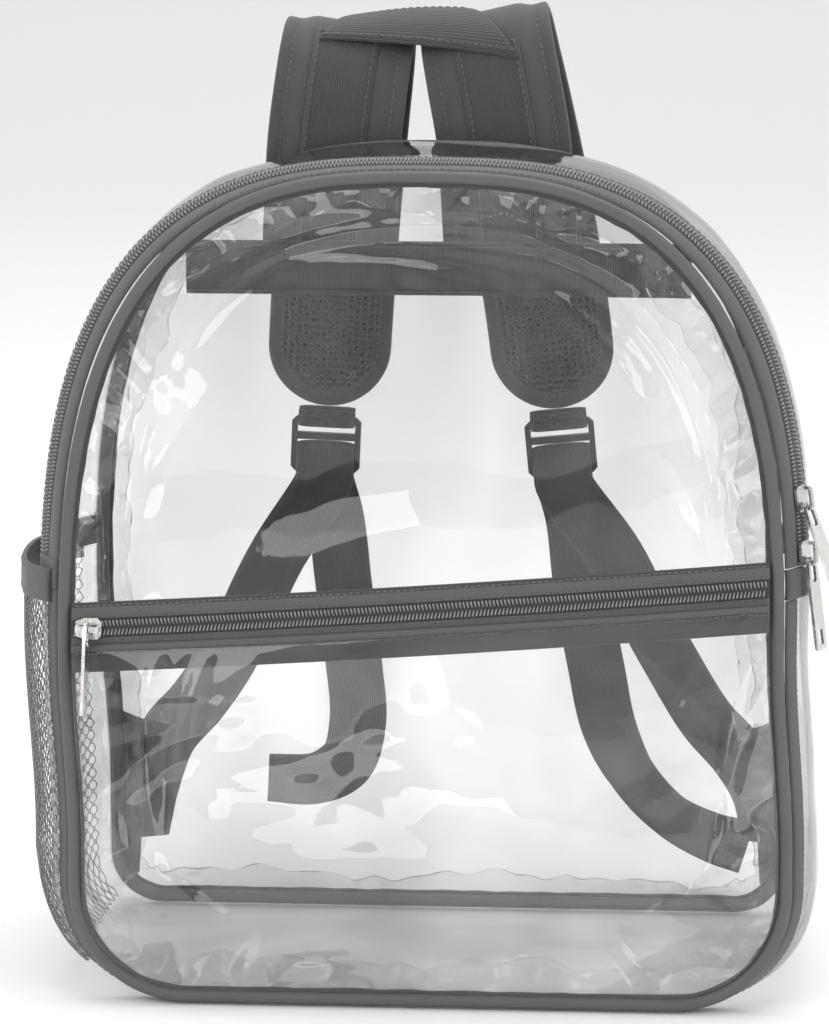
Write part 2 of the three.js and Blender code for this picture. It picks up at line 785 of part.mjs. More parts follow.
function netPart(top, bottom, thickness) {
  const rows = stopsBetween(1 - turnAt(top), 1 - turnAt(bottom))
    .map((turn) => gussetRow(turn, runsBetween(turn, chainStart, chainStart), thickness, netLift));
  return slab(rows);
}

addSoft("mesh_pocket", netPart(netBindingBottom - seamGap, netFootHeight, netThickness), net);
addSoft("mesh_pocket_binding", netPart(netBindingTop, netBindingBottom, netBindingThickness), tape);

// Webbing across the back panel, which carries the pads
function backBand() {
  const steps = 14;
  const reach = halfWidthAt(backBandHeight + backBandWidth / 2) - panelInset;
  const rows = [];
  for (let i = 0; i <= steps; i += 1) {
    const x = lerp(-reach, reach, i / steps);
    const row = { outer: [], inner: [] };
    for (const z of [backBandHeight - backBandWidth / 2, backBandHeight + backBandWidth / 2]) {
      row.outer.push(new THREE.Vector3(x, backFace(x, z) + gap + webbingThickness, z));
      row.inner.push(new THREE.Vector3(x, backFace(x, z) + gap, z));
    }
    rows.push(row);
  }
  return slab(rows);
}

addSoft("back_webbing_band", backBand(), webbing);

// Run of a strap pad from the band, up over its loop and down behind: back as a share of the
// reach, up as a share from the pad's end to its top, lean from root 0 over top 1 to end 2
const padRun = [
  { back: 0, up: 0.36, lean: 0, roll: 0 },
  { back: 0, up: 0.54, lean: 0.12, roll: 0.1 },
  { back: 0.01, up: 0.72, lean: 0.3, roll: 0.3 },
  { back: 0.05, up: 0.86, lean: 0.62, roll: 0.7 },
  { back: 0.18, up: 0.95, lean: 0.85, roll: 0.9 },
  { back: 0.38, up: 0.993, lean: 0.96, roll: 1 },
  { back: 0.6, up: 1, lean: 1, roll: 1 },
  { back: 0.82, up: 0.97, lean: 1.05, roll: 1 },
  { back: 0.95, up: 0.89, lean: 1.15, roll: 0.8 },
  { back: 1, up: 0.76, lean: 1.32, roll: 0.5 },
  { back: 1, up: 0.54, lean: 1.58, roll: 0.2 },
  { back: 0.98, up: 0.31, lean: 1.8, roll: 0 },
  { back: 0.95, up: 0.15, lean: 1.92, roll: 0 },
  { back: 0.92, up: 0, lean: 2, roll: 0 },
];

// The pads' roots lie on the handle webbing, which lies on the lower edge of the band
const bandFace = backFace(0, backBandHeight - backBandWidth / 2) + gap + webbingThickness;
const padRootY = bandFace + gap + webbingThickness + gap + padThickness / 2;

function padCurve(pad) {
  const points = padRun.map((row) => {
    const x = row.lean < 1 ? lerp(pad.rootX, pad.topX, row.lean) : lerp(pad.topX, pad.endX, row.lean - 1);
    const z = lerp(padEndHeight, pad.topHeight, row.up);
    return new THREE.Vector3(x, padRootY + strapReach * row.back, z);
  });
  return new THREE.CatmullRomCurve3(points, false, "centripetal");
}

const padCurves = { left: padCurve(leftPad), right: padCurve(rightPad) };

// Direction across a pad, square to its run, rolled so that its outer edge is the higher one
function padFrame(pad, curve, t) {
  const at = t * (padRun.length - 1);
  const row = Math.min(padRun.length - 2, Math.floor(at));
  const angle = radians(pad.roll * lerp(padRun[row].roll, padRun[row + 1].roll, at - row));
  const along = curve.getTangent(t);
  const across = new THREE.Vector3(Math.cos(angle), 0, pad.side * Math.sin(angle));
  across.addScaledVector(along, -across.dot(along)).normalize();
  return { spot: curve.getPoint(t), across, along, out: across.clone().cross(along) };
}

function padSpot(pad, curve, t, aside, lift) {
  const frame = padFrame(pad, curve, t);
  return frame.spot.addScaledVector(frame.across, aside).addScaledVector(frame.out, lift);
}

// Rows of a pad's round end, as the angle turned from its tip
const padTipAngles = [5, 17, 30, 45, 60, 75];

function padSolid(pad, curve) {
  const total = curve.getLength();
  const round = padEndWidth / 2;
  const steps = 26;
  const stops = [];
  for (let i = 0; i < steps; i += 1) {
    const t = i / steps;
    if (curve.getPoint(t).distanceTo(curve.getPoint(1)) > round) {
      stops.push({ t, narrow: 0 });
    }
  }
  for (const angle of padTipAngles.slice().reverse()) {
    const left = round * (1 - Math.cos(radians(angle)));
    stops.push({ t: curve.getUtoTmapping(1 - left / total), narrow: round * (1 - Math.sin(radians(angle))) });
  }
  return slab(stops.map(({ t, narrow }) => {
    const half = lerp(padWidth, padEndWidth, t) / 2 - narrow;
    const border = Math.min(padBorder, half / 2);
    const row = { outer: [], inner: [] };
    for (const [aside, thickness] of [
      [-half, padEdgeThickness],
      [border - half, padThickness],
      [half - border, padThickness],
      [half, padEdgeThickness],
    ]) {
      row.outer.push(padSpot(pad, curve, t, aside, thickness / 2));
      row.inner.push(padSpot(pad, curve, t, aside, -thickness / 2));
    }
    return row;
  }));
}

addSoft("strap_pad_left", padSolid(leftPad, padCurves.left), padding);
addSoft("strap_pad_right", padSolid(rightPad, padCurves.right), padding);

// Handle webbing: a run up the outer face of each pad and the grab handle across. Its ends are rows
// of the pads' run, and shares of the pads' width to one side
const handleRunLift = padThickness / 2 + gap + webbingThickness / 2;
const handleCrossLift = handleRunLift + webbingThickness * 0.8;
const handleEnds = {
  left: { root: 0.01, front: 4.15, back: 6.1, frontAside: -0.21, backAside: 0.035 },
  right: { root: 0.01, front: 3.35, back: 5.9, frontAside: 0.228, backAside: -0.14 },
};

function handleRun(pad, curve, ends) {
  const steps = 9;
  const last = padRun.length - 1;
  const rows = [];
  for (let i = 0; i <= steps; i += 1) {
    const t = lerp(ends.root, ends.front + 0.5, i / steps) / last;
    const row = { outer: [], inner: [] };
    for (const aside of [-handleWidth / 2, handleWidth / 2]) {
      row.outer.push(padSpot(pad, curve, t, aside, handleRunLift + webbingThickness / 2));
      row.inner.push(padSpot(pad, curve, t, aside, handleRunLift - webbingThickness / 2));
    }
    rows.push(row);
  }
  return slab(rows);
}

function handleCross() {
  const last = padRun.length - 1;
  const steps = 6;
  const widths = [0, 0.34, 0.67, 1];
  const rows = [];
  const pads = [
    [leftPad, padCurves.left, handleEnds.left],
    [rightPad, padCurves.right, handleEnds.right],
  ];
  const corner = ([pad, curve, ends], share, lift) => padSpot(
    pad,
    curve,
    lerp(ends.front, ends.back, share) / last,
    padWidth * lerp(ends.frontAside, ends.backAside, share),
    lift,
  );
  for (let i = 0; i <= steps; i += 1) {
    const row = { outer: [], inner: [] };
    for (const share of widths) {
      for (const [face, lift] of [["outer", webbingThickness / 2], ["inner", -webbingThickness / 2]]) {
        const from = corner(pads[0], share, handleCrossLift + lift);
        const to = corner(pads[1], share, handleCrossLift + lift);
        row[face].push(from.lerp(to, i / steps));
      }
    }
    rows.push(row);
  }
  return slab(rows);
}

addSoft("handle_webbing", union([
  handleRun(leftPad, padCurves.left, handleEnds.left),
  handleRun(rightPad, padCurves.right, handleEnds.right),
  handleCross(),
]), webbing);

// Ladder lock below each pad, in a frame of the pad's end: X across, Y up the strap, Z outward
function lockMatrix(pad, curve) {
  const frame = padFrame(pad, curve, 1);
  const middle = frame.spot.clone().addScaledVector(frame.along, lockDrop);
  const up = frame.along.clone().negate();
  return new THREE.Matrix4().makeBasis(frame.across.clone().negate(), up, frame.out).setPosition(middle);
}

const lockStep = (lockHeight - lockBar) / 3;

function lockSolid() {
  const [w, h] = [lockWidth / 2, lockHeight / 2];
  const shape = new THREE.Shape([
    new THREE.Vector2(lockCorner - w, -h),
    new THREE.Vector2(w - lockCorner, -h),
    new THREE.Vector2(w, lockCorner - h),
    new THREE.Vector2(w, h - lockCorner),
    new THREE.Vector2(w - lockCorner, h),
    new THREE.Vector2(lockCorner - w, h),
    new THREE.Vector2(-w, h - lockCorner),
    new THREE.Vector2(-w, lockCorner - h),
  ]);
  for (let i = 0; i < 3; i += 1) {
    const low = -h + lockBar + i * lockStep;
    const high = low + lockStep - lockBar;
    shape.holes.push(new THREE.Path([
      new THREE.Vector2(lockRim - w, low),
      new THREE.Vector2(w - lockRim, low),
      new THREE.Vector2(w - lockRim, high),
      new THREE.Vector2(lockRim - w, high),
    ]));
  }
  const frame = new THREE.ExtrudeGeometry(shape, { depth: lockThickness, bevelEnabled: false });
  return frame.translate(0, 0, -lockThickness / 2);
}

// Webbing loop round the lock's top bar, up to the end of the pad
function endLoop() {
  const low = lockHeight / 2 - lockBar - gap - loopThickness;
  const high = lockDrop - gap;
  const out = lockThickness / 2 + gap + loopThickness;
  const ring = (grow) => [
    new THREE.Vector2(-out + grow, low + grow),
    new THREE.Vector2(out - grow, low + grow),
    new THREE.Vector2(out - grow, high - loopCorner - grow / 2),
    new THREE.Vector2(out - loopCorner - grow / 2, high - grow),
    new THREE.Vector2(loopCorner - out + grow / 2, high - grow),
    new THREE.Vector2(-out + grow, high - loopCorner - grow / 2),
  ];
  const shape = new THREE.Shape(ring(0));
  shape.holes.push(new THREE.Path(ring(loopThickness)));
  const loop = new THREE.ExtrudeGeometry(shape, { depth: loopWidth, bevelEnabled: false });
  return loop.translate(0, 0, -loopWidth / 2).rotateY(-Math.PI / 2);
}

for (const [side, pad] of [["left", leftPad], ["right", rightPad]]) {
  const matrix = lockMatrix(pad, padCurves[side]);
  placeHard(`ladder_lock_${side}`, lockSolid(), matrix, plastic);
  placeHard(`pad_end_loop_${side}`, endLoop(), matrix, webbing);
}

// Adjuster webbing: out as a share of the half width, back of the strap's reach, up of the
// pad's end height, turn and roll in degrees of the line across it
const loadRuns = {
  left: [
    { out: -0.93, back: 0.12, up: 0.12, turn: 0, roll: 40 },
    { out: -0.905, back: 0.1, up: 0.23, turn: 0, roll: 25 },
    { out: -0.855, back: 0.12, up: 0.335, turn: 0, roll: 5 },
    { out: -0.76, back: 0.24, up: 0.405, turn: 0, roll: 0 },
    { out: -0.655, back: 0.4, up: 0.5, turn: 0, roll: 0 },
    { out: -0.5, back: 0.62, up: 0.7, turn: 0, roll: 0 },
  ],
  right: [
    { out: 0.95, back: 0.12, up: 0.13, turn: 0, roll: -40 },
    { out: 0.93, back: 0.1, up: 0.23, turn: 0, roll: -25 },
    { out: 0.875, back: 0.12, up: 0.31, turn: 0, roll: -5 },
    { out: 0.775, back: 0.24, up: 0.385, turn: 0, roll: 0 },
    { out: 0.665, back: 0.42, up: 0.515, turn: 0, roll: 0 },
    { out: 0.525, back: 0.64, up: 0.7, turn: 0, roll: 0 },
  ],
};

const tailRuns = {
  left: [
    { out: -0.335, back: 1.02, up: 0.76, turn: 0, roll: 0 },
    { out: -0.31, back: 0.98, up: 0.6, turn: 0, roll: 0 },
    { out: -0.297, back: 0.9, up: 0.45, turn: 0, roll: 0 },
    { out: -0.295, back: 0.84, up: 0.335, turn: 5, roll: 0 },
    { out: -0.33, back: 0.8, up: 0.25, turn: 35, roll: 15 },
    { out: -0.42, back: 0.76, up: 0.215, turn: 75, roll: 40 },
    { out: -0.57, back: 0.74, up: 0.215, turn: 90, roll: 50 },
  ],
  right: [
    { out: 0.395, back: 1.02, up: 0.76, turn: 0, roll: 0 },
    { out: 0.42, back: 0.98, up: 0.6, turn: 0, roll: 0 },
    { out: 0.445, back: 0.9, up: 0.46, turn: 0, roll: 0 },
    { out: 0.475, back: 0.82, up: 0.335, turn: -10, roll: -20 },
    { out: 0.545, back: 0.72, up: 0.24, turn: -35, roll: -45 },
    { out: 0.66, back: 0.6, up: 0.16, turn: -50, roll: -52 },
    { out: 0.79, back: 0.5, up: 0.118, turn: -65, roll: -45 },
    { out: 0.9, back: 0.44, up: 0.1, turn: -75, roll: -35 },
  ],
};

function runSpots(rows) {
  return rows.map((row) => ({
    spot: new THREE.Vector3(row.out * halfWidth, padRootY + strapReach * row.back, row.up * padEndHeight),
    across: new THREE.Vector3(Math.cos(radians(row.turn)), 0, -Math.sin(radians(row.turn))),
    roll: radians(row.roll),
  }));
}

// The turn over the lock's lower middle bar
function lockTurn(matrix) {
  const bar = lockStep / 2;
  const off = lockThickness / 2 + gap + webbingThickness / 2;
  const half = [
    { z: off + turnSpread, y: -turnLength },
    { z: off + turnSpread / 6, y: -turnLength / 2 },
    { z: off, y: 0 },
    { z: off * Math.cos(radians(30)), y: turnRise * 0.72 },
  ];
  const path = [
    ...half.map(({ z, y }) => ({ z: -z, y })),
    { z: 0, y: turnRise },
    ...half.slice().reverse(),
  ];
  const across = new THREE.Vector3().setFromMatrixColumn(matrix, 0).negate();
  return path.map(({ z, y }) => ({
    spot: new THREE.Vector3(0, y - bar, z).applyMatrix4(matrix),
    across,
    roll: 0,
  }));
}

function ribbon(spots, width, thickness) {
  const curve = new THREE.CatmullRomCurve3(spots.map((row) => row.spot), false, "centripetal");
  const last = spots.length - 1;
  const rows = [];
  for (let i = 0; i <= 2 * last; i += 1) {
    const at = i / 2;
    const row = Math.min(last - 1, Math.floor(at));
    const [from, to] = [spots[row], spots[row + 1]];
    const along = curve.getTangent(at / last);
    const aside = from.across.clone().lerp(to.across, at - row);
    aside.addScaledVector(along, -aside.dot(along)).normalize();
    aside.applyAxisAngle(along, lerp(from.roll, to.roll, at - row));
    const out = aside.clone().cross(along).multiplyScalar(thickness / 2);
    const spot = curve.getPoint(at / last);
    const ends = [-width / 2, width / 2].map((step) => spot.clone().addScaledVector(aside, step));
    rows.push({
      outer: ends.map((end) => end.clone().add(out)),
      inner: ends.map((end) => end.clone().sub(out)),
    });
  }
  return slab(rows);
}

for (const [side, pad] of [["left", leftPad], ["right", rightPad]]) {
  const spots = [
    ...runSpots(loadRuns[side]),
    ...lockTurn(lockMatrix(pad, padCurves[side])),
    ...runSpots(tailRuns[side]),
  ];
  addSoft(`adjuster_webbing_${side}`, ribbon(spots, adjusterWidth, webbingThickness), webbing);
}

// Tabs sewn over the lower back corners
function cornerTab(side) {
  const outer = halfWidth - gap;
  const low = edgeLift + tabBottom;
  const shape = new THREE.Shape([
    new THREE.Vector2(side * outer, tabTop),
    new THREE.Vector2(side * (outer - tabWidth), tabTop - tabSlant),
    new THREE.Vector2(side * (outer - tabWidth * 0.62), tabTop / 2),
    new THREE.Vector2(side * (outer - tabWidth * 0.5), low),
    new THREE.Vector2(side * (outer - tabCorner), low + tabCorner),
    new THREE.Vector2(side * outer, edgeLift + backCornerRadius),
  ]);
  const flat = new THREE.ExtrudeGeometry(shape, { depth: webbingThickness, bevelEnabled: false });
  return flat.rotateX(Math.PI / 2).translate(0, backY + pipingRadius + gap + webbingThickness, 0);
}

addSoft("corner_tab_left", cornerTab(-1), tape);
addSoft("corner_tab_right", cornerTab(1), tape);

export default group;
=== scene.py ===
import math

import bpy
import numpy as np
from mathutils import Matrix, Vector


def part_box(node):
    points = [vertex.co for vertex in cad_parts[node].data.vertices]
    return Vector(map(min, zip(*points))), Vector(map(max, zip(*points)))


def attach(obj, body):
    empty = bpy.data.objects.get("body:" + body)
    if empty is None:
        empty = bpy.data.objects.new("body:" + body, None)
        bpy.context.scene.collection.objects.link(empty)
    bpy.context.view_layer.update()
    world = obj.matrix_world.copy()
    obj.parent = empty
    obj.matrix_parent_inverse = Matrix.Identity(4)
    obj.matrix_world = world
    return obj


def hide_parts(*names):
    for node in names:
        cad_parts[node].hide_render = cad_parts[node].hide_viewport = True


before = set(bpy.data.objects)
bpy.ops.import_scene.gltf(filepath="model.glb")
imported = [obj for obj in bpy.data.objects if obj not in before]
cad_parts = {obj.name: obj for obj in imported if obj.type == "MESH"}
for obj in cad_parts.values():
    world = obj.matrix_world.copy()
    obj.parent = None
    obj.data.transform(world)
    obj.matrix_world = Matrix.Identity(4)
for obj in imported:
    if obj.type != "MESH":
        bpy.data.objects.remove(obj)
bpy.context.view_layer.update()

# Camera
# Stands a little to the right of the bag and looks down on it with a long lens, level with the
# horizon.
camera_azimuth = math.radians(3.77)
camera_elevation = math.radians(11.91)
camera_distance = 1.9
camera_target = Vector((-0.0052, 0, 0.1895))
photo_height = 1024
focal_pixels = 4635
camera_data = bpy.data.cameras.new("camera")
camera_data.sensor_width = 36
camera_data.lens = focal_pixels / photo_height * camera_data.sensor_width
camera = bpy.data.objects.new("camera", camera_data)
bpy.context.scene.collection.objects.link(camera)
bpy.context.scene.camera = camera
away = Vector((
    math.sin(camera_azimuth) * math.cos(camera_elevation),
    -math.cos(camera_azimuth) * math.cos(camera_elevation),
    math.sin(camera_elevation),
))
camera.location = camera_target + away * camera_distance
camera.rotation_euler = (-away).to_track_quat("-Z", "Y").to_euler()

# Studio
# A pale floor that curves up behind, a bright world that is darker towards the camera, and
# softboxes whose edges show as soft blotches in the clear sheets.
scene = bpy.context.scene
scene.view_settings.view_transform = "Standard"
scene.cycles.transparent_max_bounces = 32
scene.cycles.max_bounces = 6
scene.cycles.diffuse_bounces = 2
scene.cycles.glossy_bounces = 2


def link_nodes(tree, pairs):
    for source, target in pairs:
        tree.links.new(source, target)


def soft_noise(tree, scale, detail):
    noise = tree.nodes.new("ShaderNodeTexNoise")
    noise.inputs["Scale"].default_value = scale
    noise.inputs["Detail"].default_value = detail
    return noise


def spread(tree, value, low, high, to_low, to_high):
    """Carries the values from low to high over to another range."""
    node = tree.nodes.new("ShaderNodeMapRange")
    for label, number in (("From Min", low), ("From Max", high), ("To Min", to_low), ("To Max", to_high)):
        node.inputs[label].default_value = number
    tree.links.new(value, node.inputs["Value"])
    return node


world = bpy.data.worlds.new("studio")
scene.world = world
world.use_nodes = True
sky = world.node_tree.nodes
facing = sky.new("ShaderNodeTexCoord")
split = sky.new("ShaderNodeSeparateXYZ")
clouds = soft_noise(world.node_tree, 2.3, 1.5)
room = sky.new("ShaderNodeMix")
room.inputs["B"].default_value = 1.3
behind = spread(world.node_tree, split.outputs["Y"], -1, 0.5, 0, 1)
cloud_light = spread(world.node_tree, clouds.outputs["Fac"], 0.4, 0.62, 0.05, 0.75)
link_nodes(world.node_tree, [
    (facing.outputs["Generated"], split.inputs[0]),
    (facing.outputs["Generated"], clouds.inputs["Vector"]),
    (behind.outputs["Result"], room.inputs["Factor"]),
    (cloud_light.outputs["Result"], room.inputs["A"]),
    (room.outputs["Result"], sky["Background"].inputs["Strength"]),
])
sky["Background"].inputs["Color"].default_value = (1, 1, 1, 1)

floor_half, floor_front, sweep_start, sweep_radius = 6.0, -6.0, 2.2, 1.6
floor_level = -0.0005  # just under the flat base, so that the two never share a plane
floor_rows = [(floor_front, floor_level), (sweep_start, floor_level)]
for step in range(1, 17):
    turn = step / 16 * math.pi / 2
    rise = sweep_radius * (1 - math.cos(turn))
    floor_rows.append((sweep_start + sweep_radius * math.sin(turn), floor_level + rise))
floor_rows.append((sweep_start + sweep_radius, 6.0))
floor_mesh = bpy.data.meshes.new("studio_floor")
floor_mesh.from_pydata(
    [(side * floor_half, y, z) for y, z in floor_rows for side in (-1, 1)],
    [],
    [(2 * i, 2 * i + 1, 2 * i + 3, 2 * i + 2) for i in range(len(floor_rows) - 1)],
)
studio_floor = bpy.data.objects.new("studio_floor", floor_mesh)
scene.collection.objects.link(studio_floor)
floor_mesh.shade_smooth()
floor_finish = bpy.data.materials.new("studio_floor")
floor_finish.use_nodes = True
floor_finish.node_tree.nodes["Principled BSDF"].inputs["Base Color"].default_value = (0.92, 0.92, 0.92, 1)
floor_finish.node_tree.nodes["Principled BSDF"].inputs["Roughness"].default_value = 0.9
floor_mesh.materials.append(floor_finish)

softboxes = [
    {"name": "key", "place": (-1.3, -2.0, 1.7), "size": (1.5, 1.5), "power": 20},
    {"name": "fill", "place": (1.7, -1.6, 0.9), "size": (0.8, 1.8), "power": 10},
    {"name": "top", "place": (0.1, 0.4, 2.0), "size": (2.0, 1.4), "power": 18},
    {"name": "low", "place": (-0.45, -2.8, 0.2), "size": (0.7, 0.35), "power": 2.2},
]
for box in softboxes:
    lamp = bpy.data.lights.new(box["name"], "AREA")
    lamp.shape = "RECTANGLE"
    lamp.size, lamp.size_y = box["size"]
    lamp.energy = box["power"]
    holder = bpy.data.objects.new(box["name"], lamp)
    scene.collection.objects.link(holder)
    holder.location = box["place"]
    holder.rotation_euler = (Vector((0, 0, 0.17)) - holder.location).to_track_quat("-Z", "Y").to_euler()

# Piping
# Cord wrapped in smooth vinyl binding, sewn into the seams all round the front and back panels.
# Everything else hangs on its outline, which is measured here once. Millimetres from here on.
piping_radius = 2.75
spring_height = 137
dome_power = 2.75
front_corner, back_corner = 45, 20
sway, sway_top, sway_bottom = 4.6, 145, 60
piping_low, piping_high = (np.array(corner) * 1000 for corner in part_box("front_piping"))
half_width = -piping_low[0] - piping_radius
edge_lift = piping_low[2] + piping_radius
bag_height = piping_high[2] - piping_radius - edge_lift
front_foot_y = piping_low[1] + piping_radius
front_top_y = piping_high[1] - piping_radius
back_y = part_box("back_piping")[1][1] * 1000 - piping_radius


def lerp(a, b, share):
    return a + (b - a) * share


def unit(v):
    return v / np.maximum(np.linalg.norm(v, axis=-1, keepdims=True), 1e-9)


def rim(corner):
    """Points once round the outline from the middle of the base, with the share of the way."""
    ways = np.linspace(0, 2, 8001)
    x, z = np.zeros_like(ways), np.zeros_like(ways)
    low = ways < 0.5
    x[low], z[low] = (half_width - corner) * ways[low] * 2, edge_lift
    bend = (ways >= 0.5) & (ways < 0.8)
    angle = (ways[bend] - 0.5) / 0.3 * math.pi / 2
    x[bend] = half_width - corner + corner * np.sin(angle)
    z[bend] = edge_lift + corner - corner * np.cos(angle)
    side = (ways >= 0.8) & (ways < 1)
    x[side], z[side] = half_width, edge_lift + lerp(corner, spring_height, (ways[side] - 0.8) / 0.2)
    dome = ways >= 1
    angle = (ways[dome] - 1) * math.pi / 2
    c, s = np.abs(np.cos(angle)), np.abs(np.sin(angle))
    reach = (c ** dome_power + s ** dome_power) ** (-1 / dome_power)
    x[dome] = half_width * reach * c
    z[dome] = edge_lift + spring_height + (bag_height - spring_height) * reach * s
    x, z = np.concatenate([x, -x[-2::-1]]), np.concatenate([z, z[-2::-1]])
    far = np.concatenate([[0], np.cumsum(np.hypot(np.diff(x), np.diff(z)))])
    return {"turn": far / far[-1], "x": x, "z": z, "length": far[-1]}


front_rim, back_rim = rim(front_corner), rim(back_corner)


def on_rim(loop, turn):
    """x, z and the outward direction at a share of the way round."""
    lap = np.mod(turn, 1)
    x, z = (np.interp(lap, loop["turn"], loop[axis]) for axis in "xz")
    step = 0.0015
    ahead, behind = np.mod(turn + step, 1), np.mod(turn - step, 1)
    along = [np.interp(ahead, loop["turn"], loop[axis]) - np.interp(behind, loop["turn"], loop[axis])
             for axis in "xz"]
    size = np.hypot(*along)
    return x, z, along[1] / size, -along[0] / size


def front_y(z):
    return front_foot_y + (front_top_y - front_foot_y) * (z - edge_lift) / bag_height


def settled(points):
    """The lower body leans to the right."""
    t = np.clip((points[..., 2] - sway_bottom) / (sway_top - sway_bottom), 0, 1)
    moved = np.array(points, float)
    moved[..., 0] += sway * (1 - t * t * (3 - 2 * t))
    return moved


def make_piece(name, points, faces, uv=None, soft=True):
    """A mesh from points in millimetres, smooth shaded, with its UV map in millimetres."""
    spots = settled(points) if soft else np.array(points, float)
    mesh = bpy.data.meshes.new(name)
    mesh.vertices.add(len(spots))
    mesh.vertices.foreach_set("co", (spots * 0.001).astype(np.float32).ravel())
    faces = np.array(faces, np.int32)
    mesh.loops.add(faces.size)
    mesh.loops.foreach_set("vertex_index", faces.ravel())
    mesh.polygons.add(len(faces))
    mesh.polygons.foreach_set("loop_start", np.arange(0, faces.size, faces.shape[1], dtype=np.int32))
    mesh.update(calc_edges=True)
    if uv is not None:
        layer = mesh.uv_layers.new(name="cloth")
        layer.data.foreach_set("uv", np.array(uv, np.float32)[faces.ravel()].ravel())
    mesh.shade_smooth()
    piece = bpy.data.objects.new(name, mesh)
    scene.collection.objects.link(piece)
    return piece


def grid_faces(rows, columns, wrap_rows=False, wrap_columns=False):
    """Quads over a grid of points that is numbered row by row."""
    r = np.arange(rows if wrap_rows else rows - 1)[:, None]
    c = np.arange(columns if wrap_columns else columns - 1)[None, :]
    r2, c2 = (r + 1) % rows, (c + 1) % columns
    corners = [r * columns + c, r * columns + c2, r2 * columns + c2, r2 * columns + c]
    return np.stack([np.broadcast_to(k, (r.size, c.size)) for k in corners], -1).reshape(-1, 4)


def finish_piece(piece, material, nodes=(), body="bag"):
    piece.data.materials.append(material)
    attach(piece, body)
    if nodes:
        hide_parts(*nodes)
    return piece


def start_material(name, colour, roughness):
    material = bpy.data.materials.new(name)
    material.use_nodes = True
    shader = material.node_tree.nodes["Principled BSDF"]
    shader.inputs["Base Color"].default_value = (*colour, 1)
    shader.inputs["Roughness"].default_value = roughness
    return material, material.node_tree, shader


def effect_group(name, inputs, outputs):
    """A node group with float inputs, each with its usual value, and float or colour outputs."""
    tree = bpy.data.node_groups.new(name, "ShaderNodeTree")
    for label, value in inputs.items():
        socket = tree.interface.new_socket(label, in_out="INPUT", socket_type="NodeSocketFloat")
        socket.default_value = value
    for label, kind in outputs.items():
        tree.interface.new_socket(label, in_out="OUTPUT", socket_type=kind)
    return tree, tree.nodes.new("NodeGroupInput"), tree.nodes.new("NodeGroupOutput")


def put_effect(tree, effect, **values):
    node = tree.nodes.new("ShaderNodeGroup")
    node.node_tree = effect
    for label, value in values.items():
        node.inputs[label.replace("_", " ")].default_value = value
    return node


def sum_node(tree, operation, a, b=None, c=None):
    """A Math node; a, b and c are sockets or numbers."""
    node = tree.nodes.new("ShaderNodeMath")
    node.operation = operation
    for socket, value in zip(node.inputs, (a, b, c)):
        if value is None:
            continue
        if isinstance(value, (int, float)):
            socket.default_value = value
        else:
            tree.links.new(value, socket)
    return node.outputs[0]


# Blotches: soft stains and fading that every cloth and tape has, in two sizes
blotches, blotch_in, blotch_out = effect_group(
    "blotches",
    {"Size mm": 30.0, "Strength": 0.2},
    {"Shade": "NodeSocketFloat", "Height": "NodeSocketFloat"},
)
place = blotches.nodes.new("ShaderNodeNewGeometry")
broad = blotches.nodes.new("ShaderNodeTexNoise")
broad.inputs["Detail"].default_value = 3
fine = blotches.nodes.new("ShaderNodeTexNoise")
fine.inputs["Detail"].default_value = 2
broad_scale = sum_node(blotches, "DIVIDE", 1000.0, blotch_in.outputs["Size mm"])
link_nodes(blotches, [
    (place.outputs["Position"], broad.inputs["Vector"]),
    (place.outputs["Position"], fine.inputs["Vector"]),
    (broad_scale, broad.inputs["Scale"]),
    (sum_node(blotches, "MULTIPLY", broad_scale, 9.0), fine.inputs["Scale"]),
])
both = sum_node(blotches, "ADD", sum_node(blotches, "MULTIPLY", broad.outputs["Fac"], 1.4),
                sum_node(blotches, "MULTIPLY", fine.outputs["Fac"], 0.6))
swing = sum_node(blotches, "SUBTRACT", both, 1.0)
swing = sum_node(blotches, "MULTIPLY", swing, blotch_in.outputs["Strength"])
link_nodes(blotches, [
    (sum_node(blotches, "ADD", swing, 1.0), blotch_out.inputs["Shade"]),
    (both, blotch_out.inputs["Height"]),
])


def tint(tree, shader, colour, shade):
    """Feeds Base Color with a colour times a shade that changes over the surface."""
    mix = tree.nodes.new("ShaderNodeVectorMath")
    mix.operation = "SCALE"
    mix.inputs[0].default_value = colour
    link_nodes(tree, [(shade, mix.inputs["Scale"]), (mix.outputs[0], shader.inputs["Base Color"])])


def emboss(tree, shader, height, depth_mm, strength=1.0):
    bump = tree.nodes.new("ShaderNodeBump")
    bump.inputs["Strength"].default_value = strength
    bump.inputs["Distance"].default_value = depth_mm * 0.001
    link_nodes(tree, [(height, bump.inputs["Height"]), (bump.outputs["Normal"], shader.inputs["Normal"])])
    return bump


piping_colour = (0.098, 0.098, 0.1)
piping_finish, tree, shader = start_material("piping_binding", piping_colour, 0.5)
fade = put_effect(tree, blotches, Size_mm=22, Strength=0.16)
wrap = tree.nodes.new("ShaderNodeUVMap")
wrap.uv_map = "cloth"
twist = tree.nodes.new("ShaderNodeTexWave")
twist.wave_type = "BANDS"
twist.bands_direction = "DIAGONAL"
twist.inputs["Scale"].default_value = 0.45
twist.inputs["Distortion"].default_value = 1.5
tree.links.new(wrap.outputs["UV"], twist.inputs["Vector"])
tint(tree, shader, piping_colour, fade.outputs["Shade"])
relief = sum_node(tree, "ADD", sum_node(tree, "MULTIPLY", twist.outputs["Fac"], 0.25), fade.outputs["Height"])
emboss(tree, shader, relief, 0.12)


